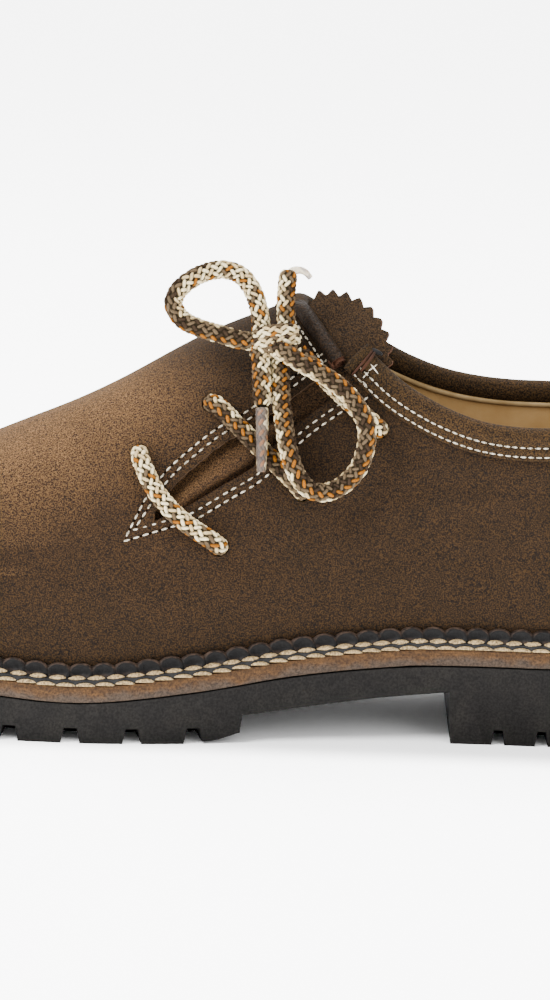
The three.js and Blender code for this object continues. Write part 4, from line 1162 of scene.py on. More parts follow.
def rim_width(share):
    """How far the sole stands out of the last's edge at shares of its loop."""
    station = np.where(share <= 0.5, 2 * share, 2 - 2 * share)
    return catmull_rom(LAST[:, 9:10], station, centripetal=False)[..., 0] * FLANGE


def sole_ring(shares, inset, height):
    """Points round the sole, inset from its rim, at a height over the rubber."""
    point, out = edge_point(shares, rim_width(shares) - inset)
    point[:, 2] = rubber_top(point[:, 0]) + height
    return point, out


def band_round(name, shares, section, materials):
    """Closed layer of the sole from a section of inset and height, with flat faces over it."""
    rings = np.stack([sole_ring(shares, inset, height)[0] for inset, height in section])
    faces = bridge_rings(rings)
    heights = np.array(section)[:, 1]
    rise = (heights - heights.min()) / np.ptp(heights)
    piece = new_object(name, rings.reshape(-1, 3), faces, materials,
                       attributes={"rise": np.repeat(rise, len(shares))})
    count = len(shares)
    half = count // 2
    mesh = piece.data
    build = bmesh.new()
    build.from_mesh(mesh)
    build.verts.ensure_lookup_table()
    for ring in (0, len(section) - 1):
        start = ring * count
        for i in range(half):
            a, b = i, i + 1
            c, d = (count - i - 1) % count, (count - i) % count
            corners = [build.verts[start + k] for k in dict.fromkeys((a, b, c, d))]
            if len(corners) > 2:
                build.faces.new(corners)
    bmesh.ops.recalc_face_normals(build, faces=build.faces)
    build.to_mesh(mesh)
    build.free()
    return piece


class SHOE_OT_sole(bpy.types.Operator):
    """Lugged rubber sole, midsole with its cut edge, and insole"""
    bl_idname = "shoe.sole"
    bl_label = "Sole"

    def execute(self, context):
        tones = colours()
        rubber = moulded_rubber("moulded sole rubber, matt", tones.rubber, linear("#1d1b18"))
        solid = bpy.data.objects["outsole"]
        mesh = solid.data.copy()
        outsole = bpy.data.objects.new("lugged_sole", mesh)
        context.scene.collection.objects.link(outsole)
        mesh.materials.clear()
        mesh.materials.append(rubber)
        merged(outsole)
        smooth_by_angle(outsole, 32)
        dressed(outsole, "sole_rubber", "outsole")

        edge = cut_edge("sole leather, cut and burnished edge", tones.sole_leather,
                        linear("#2c1c0c"), linear("#2d251e"))
        low, high = CLEARANCE, MIDSOLE_RISE
        shares = loop_shares(420)
        midsole = band_round("midsole_edge", shares, [
            (3.0, low), (0.9, low), (0.25, low + 0.2), (0.0, low + 0.9), (-0.12, (low + high) / 2),
            (0.0, high - 0.9), (0.35, high - 0.15), (1.0, high), (3.0, high),
        ], [edge])
        smooth_by_angle(midsole, 40)
        dressed(midsole, "sole_leather", "midsole")

        insole = bpy.data.objects["insole"]
        insole.material_slots[0].material = smooth_leather(
            "calf insole, smooth", linear("#614825"), linear("#533a1b"), 0.5)
        return {"FINISHED"}


def rounded_stitch(length, width, thickness, sag):
    """A stitch lying on the leather: thick in the middle, its ends pulled down into the holes."""
    bpy.ops.object.select_all(action="DESELECT")
    bpy.ops.mesh.primitive_uv_sphere_add(segments=8, ring_count=7, radius=0.5 * MM)
    piece = bpy.context.object
    bpy.ops.object.mode_set(mode="EDIT")
    bpy.ops.mesh.select_all(action="SELECT")
    bpy.ops.transform.rotate(value=math.pi / 2, orient_axis="Y", center_override=(0, 0, 0))
    bpy.ops.transform.resize(value=(length, width, thickness), center_override=(0, 0, 0))
    bpy.ops.object.mode_set(mode="OBJECT")
    vertices, faces = taken_shape(piece)
    share = vertices[:, 0] / (length / 2)
    vertices[:, 1] *= 1 + 0.35 * (1 - share ** 2)
    vertices[:, 2] -= sag * share ** 2
    return vertices, faces


def rand_lobe():
    """One scale of the rand: a leather lobe with a raised rolled rim."""
    bpy.ops.object.select_all(action="DESELECT")
    bpy.ops.mesh.primitive_circle_add(vertices=18, radius=1 * MM, fill_type="NGON")
    piece = bpy.context.object
    bpy.ops.object.mode_set(mode="EDIT")
    bpy.ops.mesh.select_all(action="SELECT")
    bpy.ops.mesh.inset(thickness=0.2 * MM, depth=0.16 * MM)
    bpy.ops.mesh.inset(thickness=0.18 * MM, depth=-0.03 * MM)
    bpy.ops.mesh.inset(thickness=0.2 * MM, depth=-0.16 * MM)
    bpy.ops.object.mode_set(mode="OBJECT")
    vertices, faces = taken_shape(piece)
    rim = np.hypot(vertices[:, 0], vertices[:, 1])
    vertices *= (4.2, 3.3, 5.0)
    vertices[:, 2] += np.where(rim > 0.95, -0.6, 0) + 0.1 * vertices[:, 0]
    return vertices, faces


class SHOE_OT_welt(bpy.types.Operator):
    """Welt strip with its scalloped rand and two rows of thick stitches"""
    bl_idname = "shoe.welt"
    bl_label = "Welt"

    def execute(self, context):
        tones = colours()
        wax = smooth_leather("welt leather, waxed black", tones.rand, linear("#0b0908"), 0.5)
        scale = worn_scales("rand leather, waxed black and rubbed", tones.rand,
                            linear("#3c2f26"))
        thread = twisted_thread("welt thread, waxed linen", tones.welt_thread, linear("#4c3e29"))
        shares = loop_shares(420)
        reach = rim_width(shares) - WELT_INSET
        section = [(1.0, 0.0), (1.03, 0.18), (1.0, 0.36), (0.8, 0.42), (0.5, 0.43), (0.44, 0.62),
                   (0.38, 0.84), (0.28, 0.98), (0.1, 1.0), (-0.05, 0.9), (-0.05, 0.0)]
        rings = []
        for out, up in section:
            point, _ = edge_point(shares, out * reach)
            point[:, 2] = footbed(point[:, 0]) + up * WELT_BEAD
            rings.append(point)
        rings = np.stack(rings, axis=1)
        faces = bridge_rings(rings, closed_path=True)
        strip = new_object("welt_strip", rings.reshape(-1, 3), faces, [wax])
        merged(strip)
        smooth_by_angle(strip, 50)
        dressed(strip, "welt_leather", "welt")

        total = np.linalg.norm(np.diff(sole_ring(loop_shares(2000), 0, 0)[0], axis=0), axis=1).sum()
        pitch = sizes().welt_pitch / MM
        count = int(round(total / pitch))
        shares = loop_shares(2 * count)
        rim = rim_width(shares)
        point, out = edge_point(shares, rim)
        along = np.roll(point, -1, axis=0) - point
        up = np.tile((0.0, 0.0, 1.0), (len(shares), 1))

        lobe_count = int(round(total / LOBE_PITCH))
        places = loop_shares(lobe_count)
        point, away = edge_point(places, 0.36 * (rim_width(places) - WELT_INSET) + 0.9)
        point[:, 2] = footbed(point[:, 0]) + 3.0
        lobes = copies("rand_lobes", rand_lobe(), point, np.roll(point, -1, axis=0) - point,
                       away * 0.9 + (0, 0, 0.42), [scale])
        dressed(lobes, "welt_leather")

        upper_row, _ = edge_point(shares, 0.86 * (rim - WELT_INSET))
        upper_row[:, 2] = footbed(upper_row[:, 0]) + 0.42 * WELT_BEAD + 0.1
        slant = along / np.linalg.norm(along, axis=1, keepdims=True) + 0.14 * up + 0.05 * out
        row_a = copies("welt_stitches_upper", rounded_stitch(5.9, 1.35, 1.4, 0.5),
                       upper_row[::2], slant[::2], (out * 0.6 + up)[::2], [thread])
        lower_row, _ = edge_point(shares, rim - 0.2)
        lower_row[:, 2] = footbed(lower_row[:, 0]) + 0.42
        row_b = copies("welt_stitches_lower", rounded_stitch(6.0, 0.95, 1.2, 0.9),
                       lower_row[1::2], along[1::2], (out + 0.9 * up)[1::2], [thread])
        for row in (row_a, row_b):
            dressed(row, "welt_leather")
        return {"FINISHED"}


# Upper, collar, lining and tongue

def opening_outline(rows_list, drop):
    """Outline of what lies above an edge of the foot opening."""
    line = np.vstack([smooth_line(side_places(rows), 5) for rows in rows_list])
    line = line - np.array((0, drop))
    behind = line[-1, 0] + FAR
    return np.vstack([line, [(behind, line[-1, 1]), (behind, FAR), (line[0, 0], FAR)]])


def hole_frames():
    """Places of the lace holes on the outer wall, with the way out of it."""
    places = np.array(list(HOLES.values()))
    station, row = wall_station(side_places(places))
    return wall_frame(station, np.zeros(len(places), bool), row)


class SHOE_OT_upper(bpy.types.Operator):
    """Nubuck upper with its creases, side slit and lace holes"""
    bl_idname = "shoe.upper"
    bl_label = "Upper"

    def execute(self, context):
        tones = colours()
        outside = nubuck("nubuck, greased and rubbed", tones.nubuck_dark, tones.nubuck,
                         tones.nubuck_worn_and_lit)
        inside = smooth_leather("calf lining, smooth tan", tones.lining, linear("#583e1d"), 0.55)
        raw = smooth_leather("raw cut edge of leather", linear("#402d1a"), linear("#2f2011"), 0.8)
        outer_cut = opening_outline([INSTEP_EDGE, LATERAL_EDGE], 4.0)
        inner_cut = opening_outline([MEDIAL_EDGE], 4.0)
        holes, hole_axes = hole_frames()

        def keep(point, medial):
            place = point[..., [0, 2]]
            left = np.where(medial, outside_distance(place, inner_cut),
                            np.minimum(outside_distance(place, outer_cut),
                                       outside_distance(place, SLIT_OUTLINE)))
            for centre, axis in zip(holes, hole_axes):
                gap = point - centre
                away = np.linalg.norm(gap - (gap @ axis)[..., None] * axis, axis=-1)
                left = np.where(medial, left, np.minimum(left, away - LACE / 2 - 0.15))
            return left

        upper = cut_sheet("nubuck_upper", even_stations(290), np.linspace(0, 2, 137), on_last(),
                          keep, relief, [outside, inside, raw])
        with_modifier(upper, "SOLIDIFY", thickness=sizes().leather, offset=-1, use_rim=True,
                      material_offset=1, material_offset_rim=2)
        smooth_by_angle(upper, 45)
        dressed(upper, "nubuck", "upper")
        return {"FINISHED"}


def edge_rows(rows, medial, stations):
    """Places and ways out where an edge of the foot opening crosses stations of the wall."""
    line = smooth_line(side_places(rows))
    order = np.argsort(line[:, 0])

    def below(row):
        point = last_point(stations, medial, row)
        return point[:, 2] < np.interp(point[:, 0], line[order, 0], line[order, 1])

    row = halved(below, len(stations), 18)
    return wall_frame(stations, np.full(len(stations), medial), row)


def collar_path():
    """Knots of the topline with their ways out, from the slit over the instep to the slit again."""
    spots = side_places([INSTEP_EDGE[1], INSTEP_EDGE[-1], LATERAL_EDGE[0]])
    (ridge, start, slit), _ = wall_station(spots)
    runs = [
        edge_rows(INSTEP_EDGE, False, np.linspace(start, ridge + 0.004, 6)),
        edge_rows(MEDIAL_EDGE, True, np.linspace(ridge + 0.004, ridge + 0.05, 5)),
        edge_rows(MEDIAL_EDGE, True, np.linspace(ridge + 0.075, 1, 18)),
        edge_rows(LATERAL_EDGE, False, np.linspace(0.97, slit, 16)),
    ]
    return np.vstack([run[0] for run in runs]), np.vstack([run[1] for run in runs])


def collar_frames(count):
    """Even frames along the topline: place, way along, way out and way down."""
    knots, normals = collar_path()
    fine = np.linspace(0, 1, 3000)
    line = catmull_rom(knots, fine)
    ways = catmull_rom(normals, fine, centripetal=False)
    length = run_length(line)
    marks = np.linspace(0, length[-1], count)
    place, way = read_at(marks, length, line), read_at(marks, length, ways)
    along = np.gradient(place, axis=0)
    along /= np.linalg.norm(along, axis=1, keepdims=True)
    down = np.cross(along, way)
    down /= np.linalg.norm(down, axis=1, keepdims=True)
    down *= np.where(down[:, 2:] > 0, -1, 1)
    out = np.cross(along, down)
    out /= np.linalg.norm(out, axis=1, keepdims=True)
    out *= np.where(np.einsum("ij,ij->i", out, way) < 0, -1, 1)[:, None]
    return place, along, out, down, marks / length[-1]


COLLAR_SECTION = [
    (-0.3, 9.8), (0.9, 9.85), (1.25, 9.7), (1.35, 9.3), (1.15, 9.0), (0.85, 8.75), (1.15, 8.45),
    (1.5, 7.9), (1.55, 7.1), (1.35, 6.4), (0.95, 6.0), (1.25, 5.6), (1.75, 5.0), (2.05, 4.2),
    (2.1, 3.3), (1.95, 2.4), (1.6, 1.5), (1.0, 0.7), (0.2, 0.2), (-0.7, 0.0), (-1.7, 0.15),
    (-2.6, 0.7), (-3.3, 1.5), (-3.75, 2.5), (-3.9, 3.6), (-3.75, 4.7), (-3.4, 5.7), (-2.9, 6.5),
    (-2.4, 7.0), (-1.4, 7.2),
]


def instep_part(share):
    """1 on the slim roll of the instep, 0 on the padded collar."""
    return 1 - softly(share * TOPLINE, 24, 36)


class SHOE_OT_collar(bpy.types.Operator):
    """Padded collar round the foot opening and the leather lining under it"""
    bl_idname = "shoe.collar"
    bl_label = "Collar and lining"

    def execute(self, context):
        tones = colours()
        cover = nubuck("collar nubuck, soft and padded", linear("#1f1508"), linear("#2c1e0f"),
                       tones.nubuck_worn_and_lit)
        shiny = nubuck("instep nubuck, rubbed shiny", linear("#170f08"), linear("#20160c"),
                       linear("#33240f"), 0.06, 0.45)
        raw = smooth_leather("raw cut edge of leather", linear("#3c2011"), linear("#1d1009"), 0.8)
        place, _, out, down, share = collar_frames(COLLAR_STEPS)
        section = np.array(COLLAR_SECTION)
        roll = sizes().collar_roll / MM / SECTION_ROLL
        height = sizes().collar_height / MM / SECTION_HEIGHT
        pucker = 1 + 0.05 * np.sin(share * 297) * np.sin(share * 61)
        spread_out = section[None, :, 0] * np.where(section[None, :, 0] > 0, roll, 1.0)
        padding = (section[:, 1] < 6) & (section[:, 0] > 0)
        spread_out = spread_out * np.where(padding[None], pucker[:, None], 1.0)
        drop = section[None, :, 1] * height
        turn = np.radians(np.linspace(-80, 260, len(section)))
        slim = instep_part(share)[:, None]
        spread_out = spread_out + slim * (0.4 + ROLL_RADIUS * np.cos(turn) - spread_out)
        drop = drop + slim * (ROLL_RADIUS * (1 - np.sin(turn)) - drop)
        rings = (place[:, None] + out[:, None] * spread_out[..., None]
                 + down[:, None] * drop[..., None])
        faces = bridge_rings(rings, cap=True)
        on_roll = np.repeat(instep_part(share[:-1]) > 0.5, len(section))
        slots = np.concatenate([np.where(on_roll, 1, 0), [2, 2]])
        collar = new_object("padded_collar", rings.reshape(-1, 3), faces,
                            [cover, shiny, raw], slots)
        merged(collar)
        smooth_by_angle(collar, 60)
        dressed(collar, "collar_leather", "collar")

        inside = smooth_leather("lining leather under the collar", linear("#977a50"),
                                linear("#886a40"), 0.75)
        light = smooth_leather("lining leather, light cut edge", linear("#77603c"),
                               linear("#69502d"), 0.8)
        outer_cut = opening_outline([INSTEP_EDGE, LATERAL_EDGE], 6.6)
        inner_cut = opening_outline([MEDIAL_EDGE], 6.6)

        def keep(point, medial):
            place = point[..., [0, 2]]
            return np.where(medial, outside_distance(place, inner_cut),
                            np.minimum(outside_distance(place, outer_cut),
                                       outside_distance(place, SLIT_OUTLINE) - 1.5))

        start = wall_station(side_places([(0.40, 0.96)]))[0][0]
        lining = cut_sheet("lining_leather", even_stations(110, start - 0.02, 1.0),
                           np.linspace(0.04, 1.96, 91), on_last(2.35), keep,
                           lambda point, medial: 0 * point[..., 0],
                           [inside, inside, light])
        with_modifier(lining, "SOLIDIFY", thickness=1.0 * MM, offset=-1, use_rim=True,
                      material_offset=1, material_offset_rim=2)
        smooth_by_angle(lining, 45)
        dressed(lining, "insole_leather")
        return {"FINISHED"}


def wall_strip(name, places, width, thickness, lift, materials, ends=1.0):
    """Soft strip on the outer wall along places in x and z, its ends narrowed."""
    line = even_line(np.array(places, float), 0.5)
    station, level = wall_station(line)
    point, normal = wall_frame(station, np.zeros(len(line), bool), level)
    along = np.gradient(point, axis=0)
    along /= np.linalg.norm(along, axis=1, keepdims=True)
    across = np.cross(normal, along)
    turn = np.linspace(0, 2 * math.pi, 20, endpoint=False)
    flat = np.sign(np.cos(turn)) * np.abs(np.cos(turn)) ** 0.6
    share = np.linspace(-1, 1, len(line))[:, None, None]
    narrow = 1 - (1 - ends) * np.abs(share) ** 3
    rings = (point[:, None]
             + across[:, None] * flat[None, :, None] * width / 2 * narrow
             + normal[:, None] * (lift + thickness / 2 * np.sin(turn)[None, :, None] * narrow))
    strip = new_object(name, rings.reshape(-1, 3), bridge_rings(rings, cap=True), materials)
    merged(strip)
    smooth_by_angle(strip, 50)
    dressed(strip, "collar_leather")
    return strip


class SHOE_OT_corners(bpy.types.Operator):
    """Folded corner of the quarter, coiled end of the instep roll and the lining's raw edge"""
    bl_idname = "shoe.corners"
    bl_label = "Corners and raw edges"

    def execute(self, context):
        tones = colours()
        cover = nubuck("corner nubuck, folded over padding", linear("#1f1508"),
                       linear("#2c1e0f"), tones.nubuck_worn_and_lit)
        raw = smooth_leather("raw leather, reddish cut", linear("#3d2315"), linear("#1c0f08"), 0.8)
        light = smooth_leather("raw lining edge, pale", linear("#8f7a58"), linear("#6b5636"), 0.8)
        black = smooth_leather("padding's end, black", linear("#0c0a09"), linear("#050404"), 0.7)
        wall_strip("corner_fold", CORNER_FOLD, 3.6, 2.2, 1.0, [cover], 0.8)
        wall_strip("corner_cut", CORNER_CUT, 0.8, 1.0, 1.7, [raw], 0.5)
        wall_strip("collar_cut", COLLAR_CUT, 1.0, 1.4, 1.5, [raw], 0.5)
        wall_strip("padding_end", PADDING_END, 1.3, 1.4, 1.2, [black], 0.6)

        place, along, out, down, share = collar_frames(CORNER_STEPS)
        centre = place[0] + out[0] * 0.4 + down[0] * ROLL_RADIUS
        turn = np.linspace(0.3, 2 * math.pi * 1.85, 70)
        reach = np.interp(turn, (turn[0], turn[-1]), (0.35, ROLL_RADIUS - 0.15))
        ray = (np.cos(turn)[:, None] * out[0] - np.sin(turn)[:, None] * down[0])
        sides = [(-0.36, -1.0), (0.36, -1.0), (0.36, 1.5), (-0.36, 1.5)]
        rings = np.stack([centre + ray * (reach + wide)[:, None] + along[0] * deep
                          for wide, deep in sides], axis=1)
        coil = new_object("coiled_end", rings.reshape(-1, 3), bridge_rings(rings, cap=True), [raw])
        merged(coil)
        smooth_by_angle(coil, 40)
        dressed(coil, "collar_leather")

        kept = (share > 0.09) & (share < 0.97)
        middle = (place - out * 3.75 + down * 6.9)[kept]
        turn = np.linspace(0, 2 * math.pi, 10, endpoint=False)
        rings = (middle[:, None] + out[kept][:, None] * (0.5 * np.cos(turn))[None, :, None]
                 + down[kept][:, None] * (0.75 * np.sin(turn))[None, :, None])
        edge = new_object("lining_edge", rings.reshape(-1, 3), bridge_rings(rings, cap=True),
                          [light])
        merged(edge)
        dressed(edge, "insole_leather")
        return {"FINISHED"}


class SHOE_OT_tongue(bpy.types.Operator):
    """Soft tongue under the slit with its pinked flap"""
    bl_idname = "shoe.tongue"
    bl_label = "Tongue"

    def execute(self, context):
        tones = colours()
        skin = nubuck("tongue nubuck, darker and soft", linear("#20160b"), linear("#322213"),
                      tones.nubuck_worn_and_lit)
        raw = smooth_leather("tongue's pinked edge", linear("#4a2c1a"), linear("#2a180c"), 0.8)
        centre = side_places([FLAP_CENTRE])[0]
        teeth = 9
        turns = np.linspace(FLAP_START, FLAP_END, 8 * teeth + 1)
        wave = np.abs(((np.linspace(0, teeth, 8 * teeth + 1)) % 1) - 0.5) * 2
        radius = FLAP_RADIUS - 2.0 * wave
        arc = centre + radius[:, None] * np.stack([np.cos(turns), np.sin(turns)], axis=1)
        outline = np.vstack([side_places(TONGUE_EDGE), arc, side_places(TONGUE_BACK)])

        def surface(s, v):
            """The leaf on the last, its flap rising straight where the last bends to the ridge."""
            leaf = on_last(2.8)
            flat = leaf(s, v)
            bend = 0.76
            foot = leaf(s, np.full(s.shape, bend))
            rise = foot - leaf(s, np.full(s.shape, bend - 0.05))
            rise /= np.linalg.norm(rise, axis=-1, keepdims=True)
            straight = foot + rise * (np.maximum(v - bend, 0) * 46)[..., None]
            share = softly(flat[..., 0], -92, -86) * (v > bend)
            return flat + share[..., None] * (straight - flat)

        def keep(point, medial):
            return np.minimum(-outside_distance(point[..., [0, 2]], outline),
                              11.7 - point[..., 1])

        slit_middle = 0.3 * SLIT_UPPER_LINE[6:42] + 0.7 * SLIT_LOWER_LINE[:36]

        def fold(point, medial):
            place = point[..., [0, 2]]
            gap = line_distance(place, slit_middle)
            upper = line_distance(place, SLIT_UPPER_LINE[:44])
            lower = line_distance(place, SLIT_LOWER_LINE[:36])
            swell = (2.9 * np.exp(-(gap / 2.1) ** 2) - 2.2 * np.exp(-(upper / 2.4) ** 2)
                     - 1.2 * np.exp(-(lower / 1.2) ** 2))
            return np.where(medial, 0, swell) * softly(-point[..., 0], 82, 96)

        tongue = cut_sheet("tongue_leaf", even_stations(280, 0.36, 0.68),
                           np.linspace(0.2, 1.35, 230), surface, keep, fold, [skin, skin, raw])
        with_modifier(tongue, "SOLIDIFY", thickness=1.9 * MM, offset=-1, use_rim=True,
                      material_offset_rim=2)
        smooth_by_angle(tongue, 50)
        dressed(tongue, "tongue_leather", "tongue")
        return {"FINISHED"}


class SHOE_OT_seams(bpy.types.Operator):
    """Fine stitches round the slit and along the collar, with black discs of painted shade at their
    needle holes
    """
    bl_idname = "shoe.seams"
    bl_label = "Seams"

    def execute(self, context):
        tones = colours()
        thread = twisted_thread("seam thread, cream polyester", tones.seam_thread,
                                linear("#574c37"))
        # Black for the painted shade in the needle holes
        black = hole_shade("needle holes", linear("#060402"))
        pitch = sizes().seam_pitch / MM
        places, ways, outs = [], [], []
        for row in SLIT_ROWS:
            row = even_line(row, 0.8)
            station, level = wall_station(row)
            flat = np.zeros(len(row), bool)
            point, normal = wall_frame(station, flat, level)
            line = point + normal * relief(point, flat)[:, None]
            spots, along, _ = spaced(line, pitch, 0.6)
            nearest = np.argmin(np.linalg.norm(spots[:, None] - line[None], axis=2), axis=1)
            places.append(spots)
            ways.append(along)
            outs.append(normal[nearest])
        place, _, out, down, share = collar_frames(SEAM_STEPS)
        tight = sizes().collar_pitch / MM
        slim = instep_part(share)[:, None]
        for drop, lift, first, last in ((6.0, 0.95, 0.0, 1.0), (8.75, 0.85, 0.11, 1.0)):
            line = (place + out * (lift + slim * (0.1 - lift)) + down * (drop + 0.4 * slim))
            spots, way, part = spaced(line, tight, 0.5)
            chosen = (part >= first) & (part <= last)
            nearest = (part * (SEAM_STEPS - 1)).astype(int)
            places.append(spots[chosen])
            ways.append(way[chosen])
            outs.append(out[nearest][chosen])
        places, ways, outs = map(np.vstack, (places, ways, outs))
        ways = ways / np.linalg.norm(ways, axis=1, keepdims=True)
        threads = np.array(LONG_THREADS)
        ends = [wall_station(threads[:, i]) for i in (0, 1)]
        ends = [wall_frame(station, np.zeros(len(threads), bool), level)
                for station, level in ends]
        reach = ends[1][0] - ends[0][0]
        long_stitches = copies(
            "long_stitches", rounded_stitch(1.0, 0.36, 0.5, 0.0),
            (ends[0][0] + ends[1][0]) / 2 + ends[0][1] * 2.2, reach, ends[0][1], [thread],
            np.stack([np.linalg.norm(reach, axis=1), np.ones(len(reach)), np.ones(len(reach))], 1))
        sunk = copies("seam_stitches", rounded_stitch(2.0, 0.46, 0.56, 0.2),
                      places + outs * 0.2, ways, outs, [thread])
        # Painted shade: black discs lie between the stitches, where the thread goes into the
        # leather
        between = places + ways * pitch / 2
        holes = copies("needle_hole_shade", rounded_stitch(0.75, 0.62, 0.26, 0.0), between + outs * 0.05,
                       ways, outs, [black])
        for piece in (long_stitches, sunk, holes):
            dressed(piece, "nubuck")
        return {"FINISHED"}


# Lace

def knot_rings():
    """Routes of the three tight turns round the middle of the bow."""
    centre = np.array(KNOT_PLACE)
    routes = []
    for z, tip, wide, deep in ((-2.3, -0.2, 5.3, 3.2), (0.3, 0.0, 5.7, 3.4), (2.7, 0.2, 4.9, 3.0)):
        turn = np.linspace(0, 2 * math.pi, 25)
        x = -wide * np.cos(turn)
        y = -deep * np.sin(turn)
        lift = z + (0.32 + 0.1 * tip) * x * 0.55 + 0.9 * np.sin(turn)
        routes.append(np.stack([x, y, lift], axis=1) + centre)
    return routes


class SHOE_OT_lace(bpy.types.Operator):
    """Crossings, bow, ends and tips of the braided lace"""
    bl_idname = "shoe.lace"
    bl_label = "Lace"

    def execute(self, context):
        yarn = braided_yarn("cotton braid of cream, ochre and brown yarn")
        film = braided_yarn("lace tip, pressed under clear film", linear("#453c38"))
        pale_film = braided_yarn("lace tip, pressed under pale film", linear("#b3aaa2"))
        thickness = sizes().lace / MM - YARN_RELIEF
        crossings = {
            "lace_bar_1": ("front_upper", HOLES["front_lower"], CROSSING, FRONT_BOW, 0.25),
            "lace_bar_2": ("middle_upper", HOLES["middle_lower"], CROSSING, (0, 0), 0.62),
            "lace_bar_3": ("top_lower", TOP_CROSSING_END, TOP_CROSSING, (0, 0), 0.3),
        }
        for solid, (start, end, rows, bow, face) in crossings.items():
            points = crossing_points(HOLES[start], end, rows, bow)
            name = solid.replace("lace_bar", "crossing")
            dressed(braided(name, points, thickness, yarn, face)[0], "lace_braid", solid)

        first = [UPPER_LOOP_START, *UPPER_LOOP, THROUGH_KNOT, *END_HANGING]
        second = [LOWER_LOOP_START, *LOWER_LOOP, THROUGH_KNOT_RAISED, *END_RAISED]
        bow_upper, path_upper, length_upper = braided("bow_upper", first, thickness, yarn, 0.1,
                                                      1 / 110, round_end)
        bow_lower, path_lower, length_lower = braided("bow_lower", second, thickness, yarn, 0.62,
                                                      -1 / 420, round_end)

        tip_hanging, _, _ = braided(
            "tip_hanging", AGLET_HANGING, TIP_DIAMETERS[0], film, 0.6, depth=0.3, shade=0.9,
            taper=lambda share, left: 1 - 0.3 * share ** 2)
        tip_raised, _, _ = braided(
            "tip_raised", AGLET_RAISED, TIP_DIAMETERS[1], pale_film, depth=0.3,
            taper=lambda share, left: 1 - 0.4 * share)
        turns = [braided(f"knot_turn_{i}", route, TIGHT_LACE, yarn, 0.1 + 0.08 * i, depth=0.6)[0]
                 for i, route in enumerate(knot_rings(), 1)]
        for turn, solids in zip(turns, ([], ["lace_knot"], [])):
            dressed(turn, "lace_braid", *solids)
        dressed(bow_upper, "lace_braid", "lace_loop_upper", "lace_end_1")
        dressed(bow_lower, "lace_braid", "lace_loop_lower", "lace_end_2")
        dressed(tip_hanging, "lace_tip", "aglet_1")
        dressed(tip_raised, "lace_tip", "aglet_2")
        return {"FINISHED"}


# Stage

AIM = Vector((-0.0892, -0.045, 0.0741))
CAMERA_DISTANCE = 1.2
CAMERA_LENS = 147
CAMERA_HEIGHT = math.radians(12)
CAMERA_ROLL = math.radians(2.2)


def area_light(name, place, target, size, power):
    """Round soft light at a place, turned to its target."""
    lamp = bpy.data.lights.new(name, "AREA")
    lamp.shape = "DISK"
    lamp.size = size
    lamp.energy = power
    piece = bpy.data.objects.new(name, lamp)
    piece.location = place
    piece.rotation_euler = (Vector(target) - Vector(place)).to_track_quat("-Z", "Y").to_euler()
    bpy.context.scene.collection.objects.link(piece)


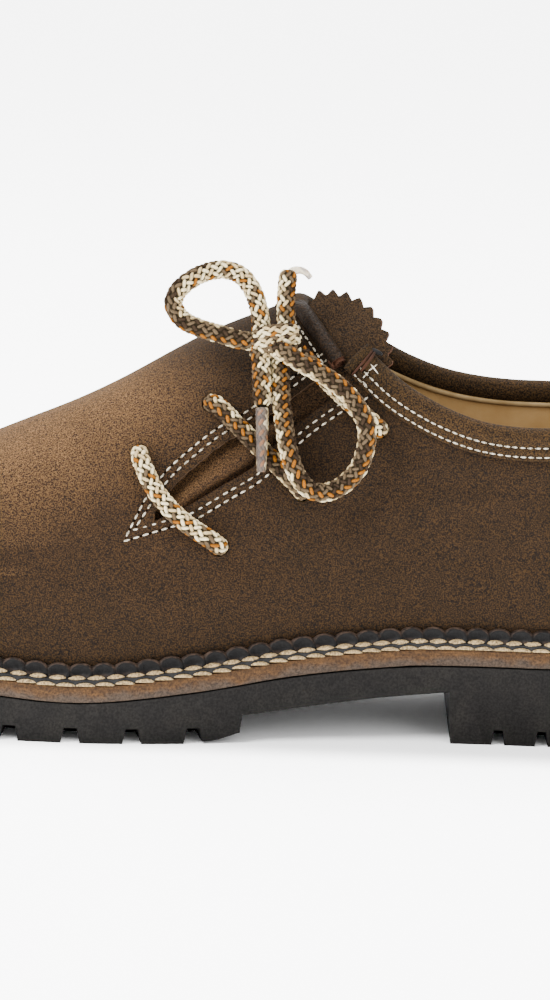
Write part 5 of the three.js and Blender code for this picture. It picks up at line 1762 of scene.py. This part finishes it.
class SHOE_OT_stage(bpy.types.Operator):
    """Camera at the photograph's angle, white floor and soft studio light"""
    bl_idname = "shoe.stage"
    bl_label = "Stage"

    def execute(self, context):
        forward = Vector((0, math.cos(CAMERA_HEIGHT), -math.sin(CAMERA_HEIGHT)))
        level = Vector((1, 0, 0))
        upright = Vector((0, math.sin(CAMERA_HEIGHT), math.cos(CAMERA_HEIGHT)))
        right = level * math.cos(CAMERA_ROLL) + upright * math.sin(CAMERA_ROLL)
        up = upright * math.cos(CAMERA_ROLL) - level * math.sin(CAMERA_ROLL)
        lens = bpy.data.cameras.new("photo_camera")
        lens.sensor_fit = "VERTICAL"
        lens.sensor_height = 36
        lens.lens = CAMERA_LENS
        lens.clip_end = 20
        camera = bpy.data.objects.new("photo_camera", lens)
        turn = Matrix((right, up, -forward)).transposed()
        camera.matrix_world = Matrix.Translation(AIM - CAMERA_DISTANCE * forward) @ turn.to_4x4()
        context.scene.collection.objects.link(camera)
        context.scene.camera = camera

        # The card glows past the shoe as painted light
        card = glowing_card("white studio card", linear("#ffffff"))
        reach = 50 * FAR
        corners = [(-reach, -reach, 0), (reach, -reach, 0), (reach, reach, 0), (-reach, reach, 0)]
        floor = new_object("floor", corners, [(0, 1, 2, 3)], [card])
        world = bpy.data.worlds.new("studio")
        world.use_nodes = True
        world.node_tree.nodes["Background"].inputs["Color"].default_value = (1, 1, 1, 1)
        world.node_tree.nodes["Background"].inputs["Strength"].default_value = 2.0
        context.scene.world = world
        area_light("key", (-0.8, -0.5, 0.9), (-0.09, -0.03, 0.06), 0.6, 26.0)
        area_light("fill", (0.7, -0.9, 0.5), (-0.05, -0.03, 0.06), 0.9, 6.0)
        area_light("top", (-0.1, 0.5, 1.2), (-0.09, 0, 0.08), 0.8, 30.0)
        return {"FINISHED"}


class SHOE_PT_panel(bpy.types.Panel):
    """Sizes, colours and pieces of the shoe"""
    bl_idname = "SHOE_PT_panel"
    bl_label = "Haferl shoe"
    bl_space_type = "VIEW_3D"
    bl_region_type = "UI"
    bl_category = "Shoe"

    def draw(self, context):
        for group in (context.scene.shoe_sizes, context.scene.shoe_colours):
            box = self.layout.box()
            for key in group.__annotations__:
                box.prop(group, key)
        for operator in OPERATORS:
            self.layout.operator(operator.bl_idname)


OPERATORS = (
    SHOE_OT_stage, SHOE_OT_lace, SHOE_OT_sole, SHOE_OT_welt, SHOE_OT_upper, SHOE_OT_collar,
    SHOE_OT_corners, SHOE_OT_tongue, SHOE_OT_seams,
)
CLASSES = (ShoeSizes, ShoeColours, *OPERATORS, SHOE_PT_panel)


def register():
    """Add the classes and the settings of the scene."""
    for item in CLASSES:
        bpy.utils.register_class(item)
    bpy.types.Scene.shoe_sizes = bpy.props.PointerProperty(type=ShoeSizes)
    bpy.types.Scene.shoe_colours = bpy.props.PointerProperty(type=ShoeColours)


def unregister():
    """Remove the settings and the classes."""
    del bpy.types.Scene.shoe_colours
    del bpy.types.Scene.shoe_sizes
    for item in reversed(CLASSES):
        bpy.utils.unregister_class(item)


def main():
    """Build the shoe and its stage."""
    register()
    bpy.ops.shoe.stage()
    bpy.ops.shoe.lace()
    bpy.ops.shoe.sole()
    bpy.ops.shoe.welt()
    bpy.ops.shoe.upper()
    bpy.ops.shoe.collar()
    bpy.ops.shoe.corners()
    bpy.ops.shoe.tongue()
    bpy.ops.shoe.seams()


if __name__ == "__main__":
    main()
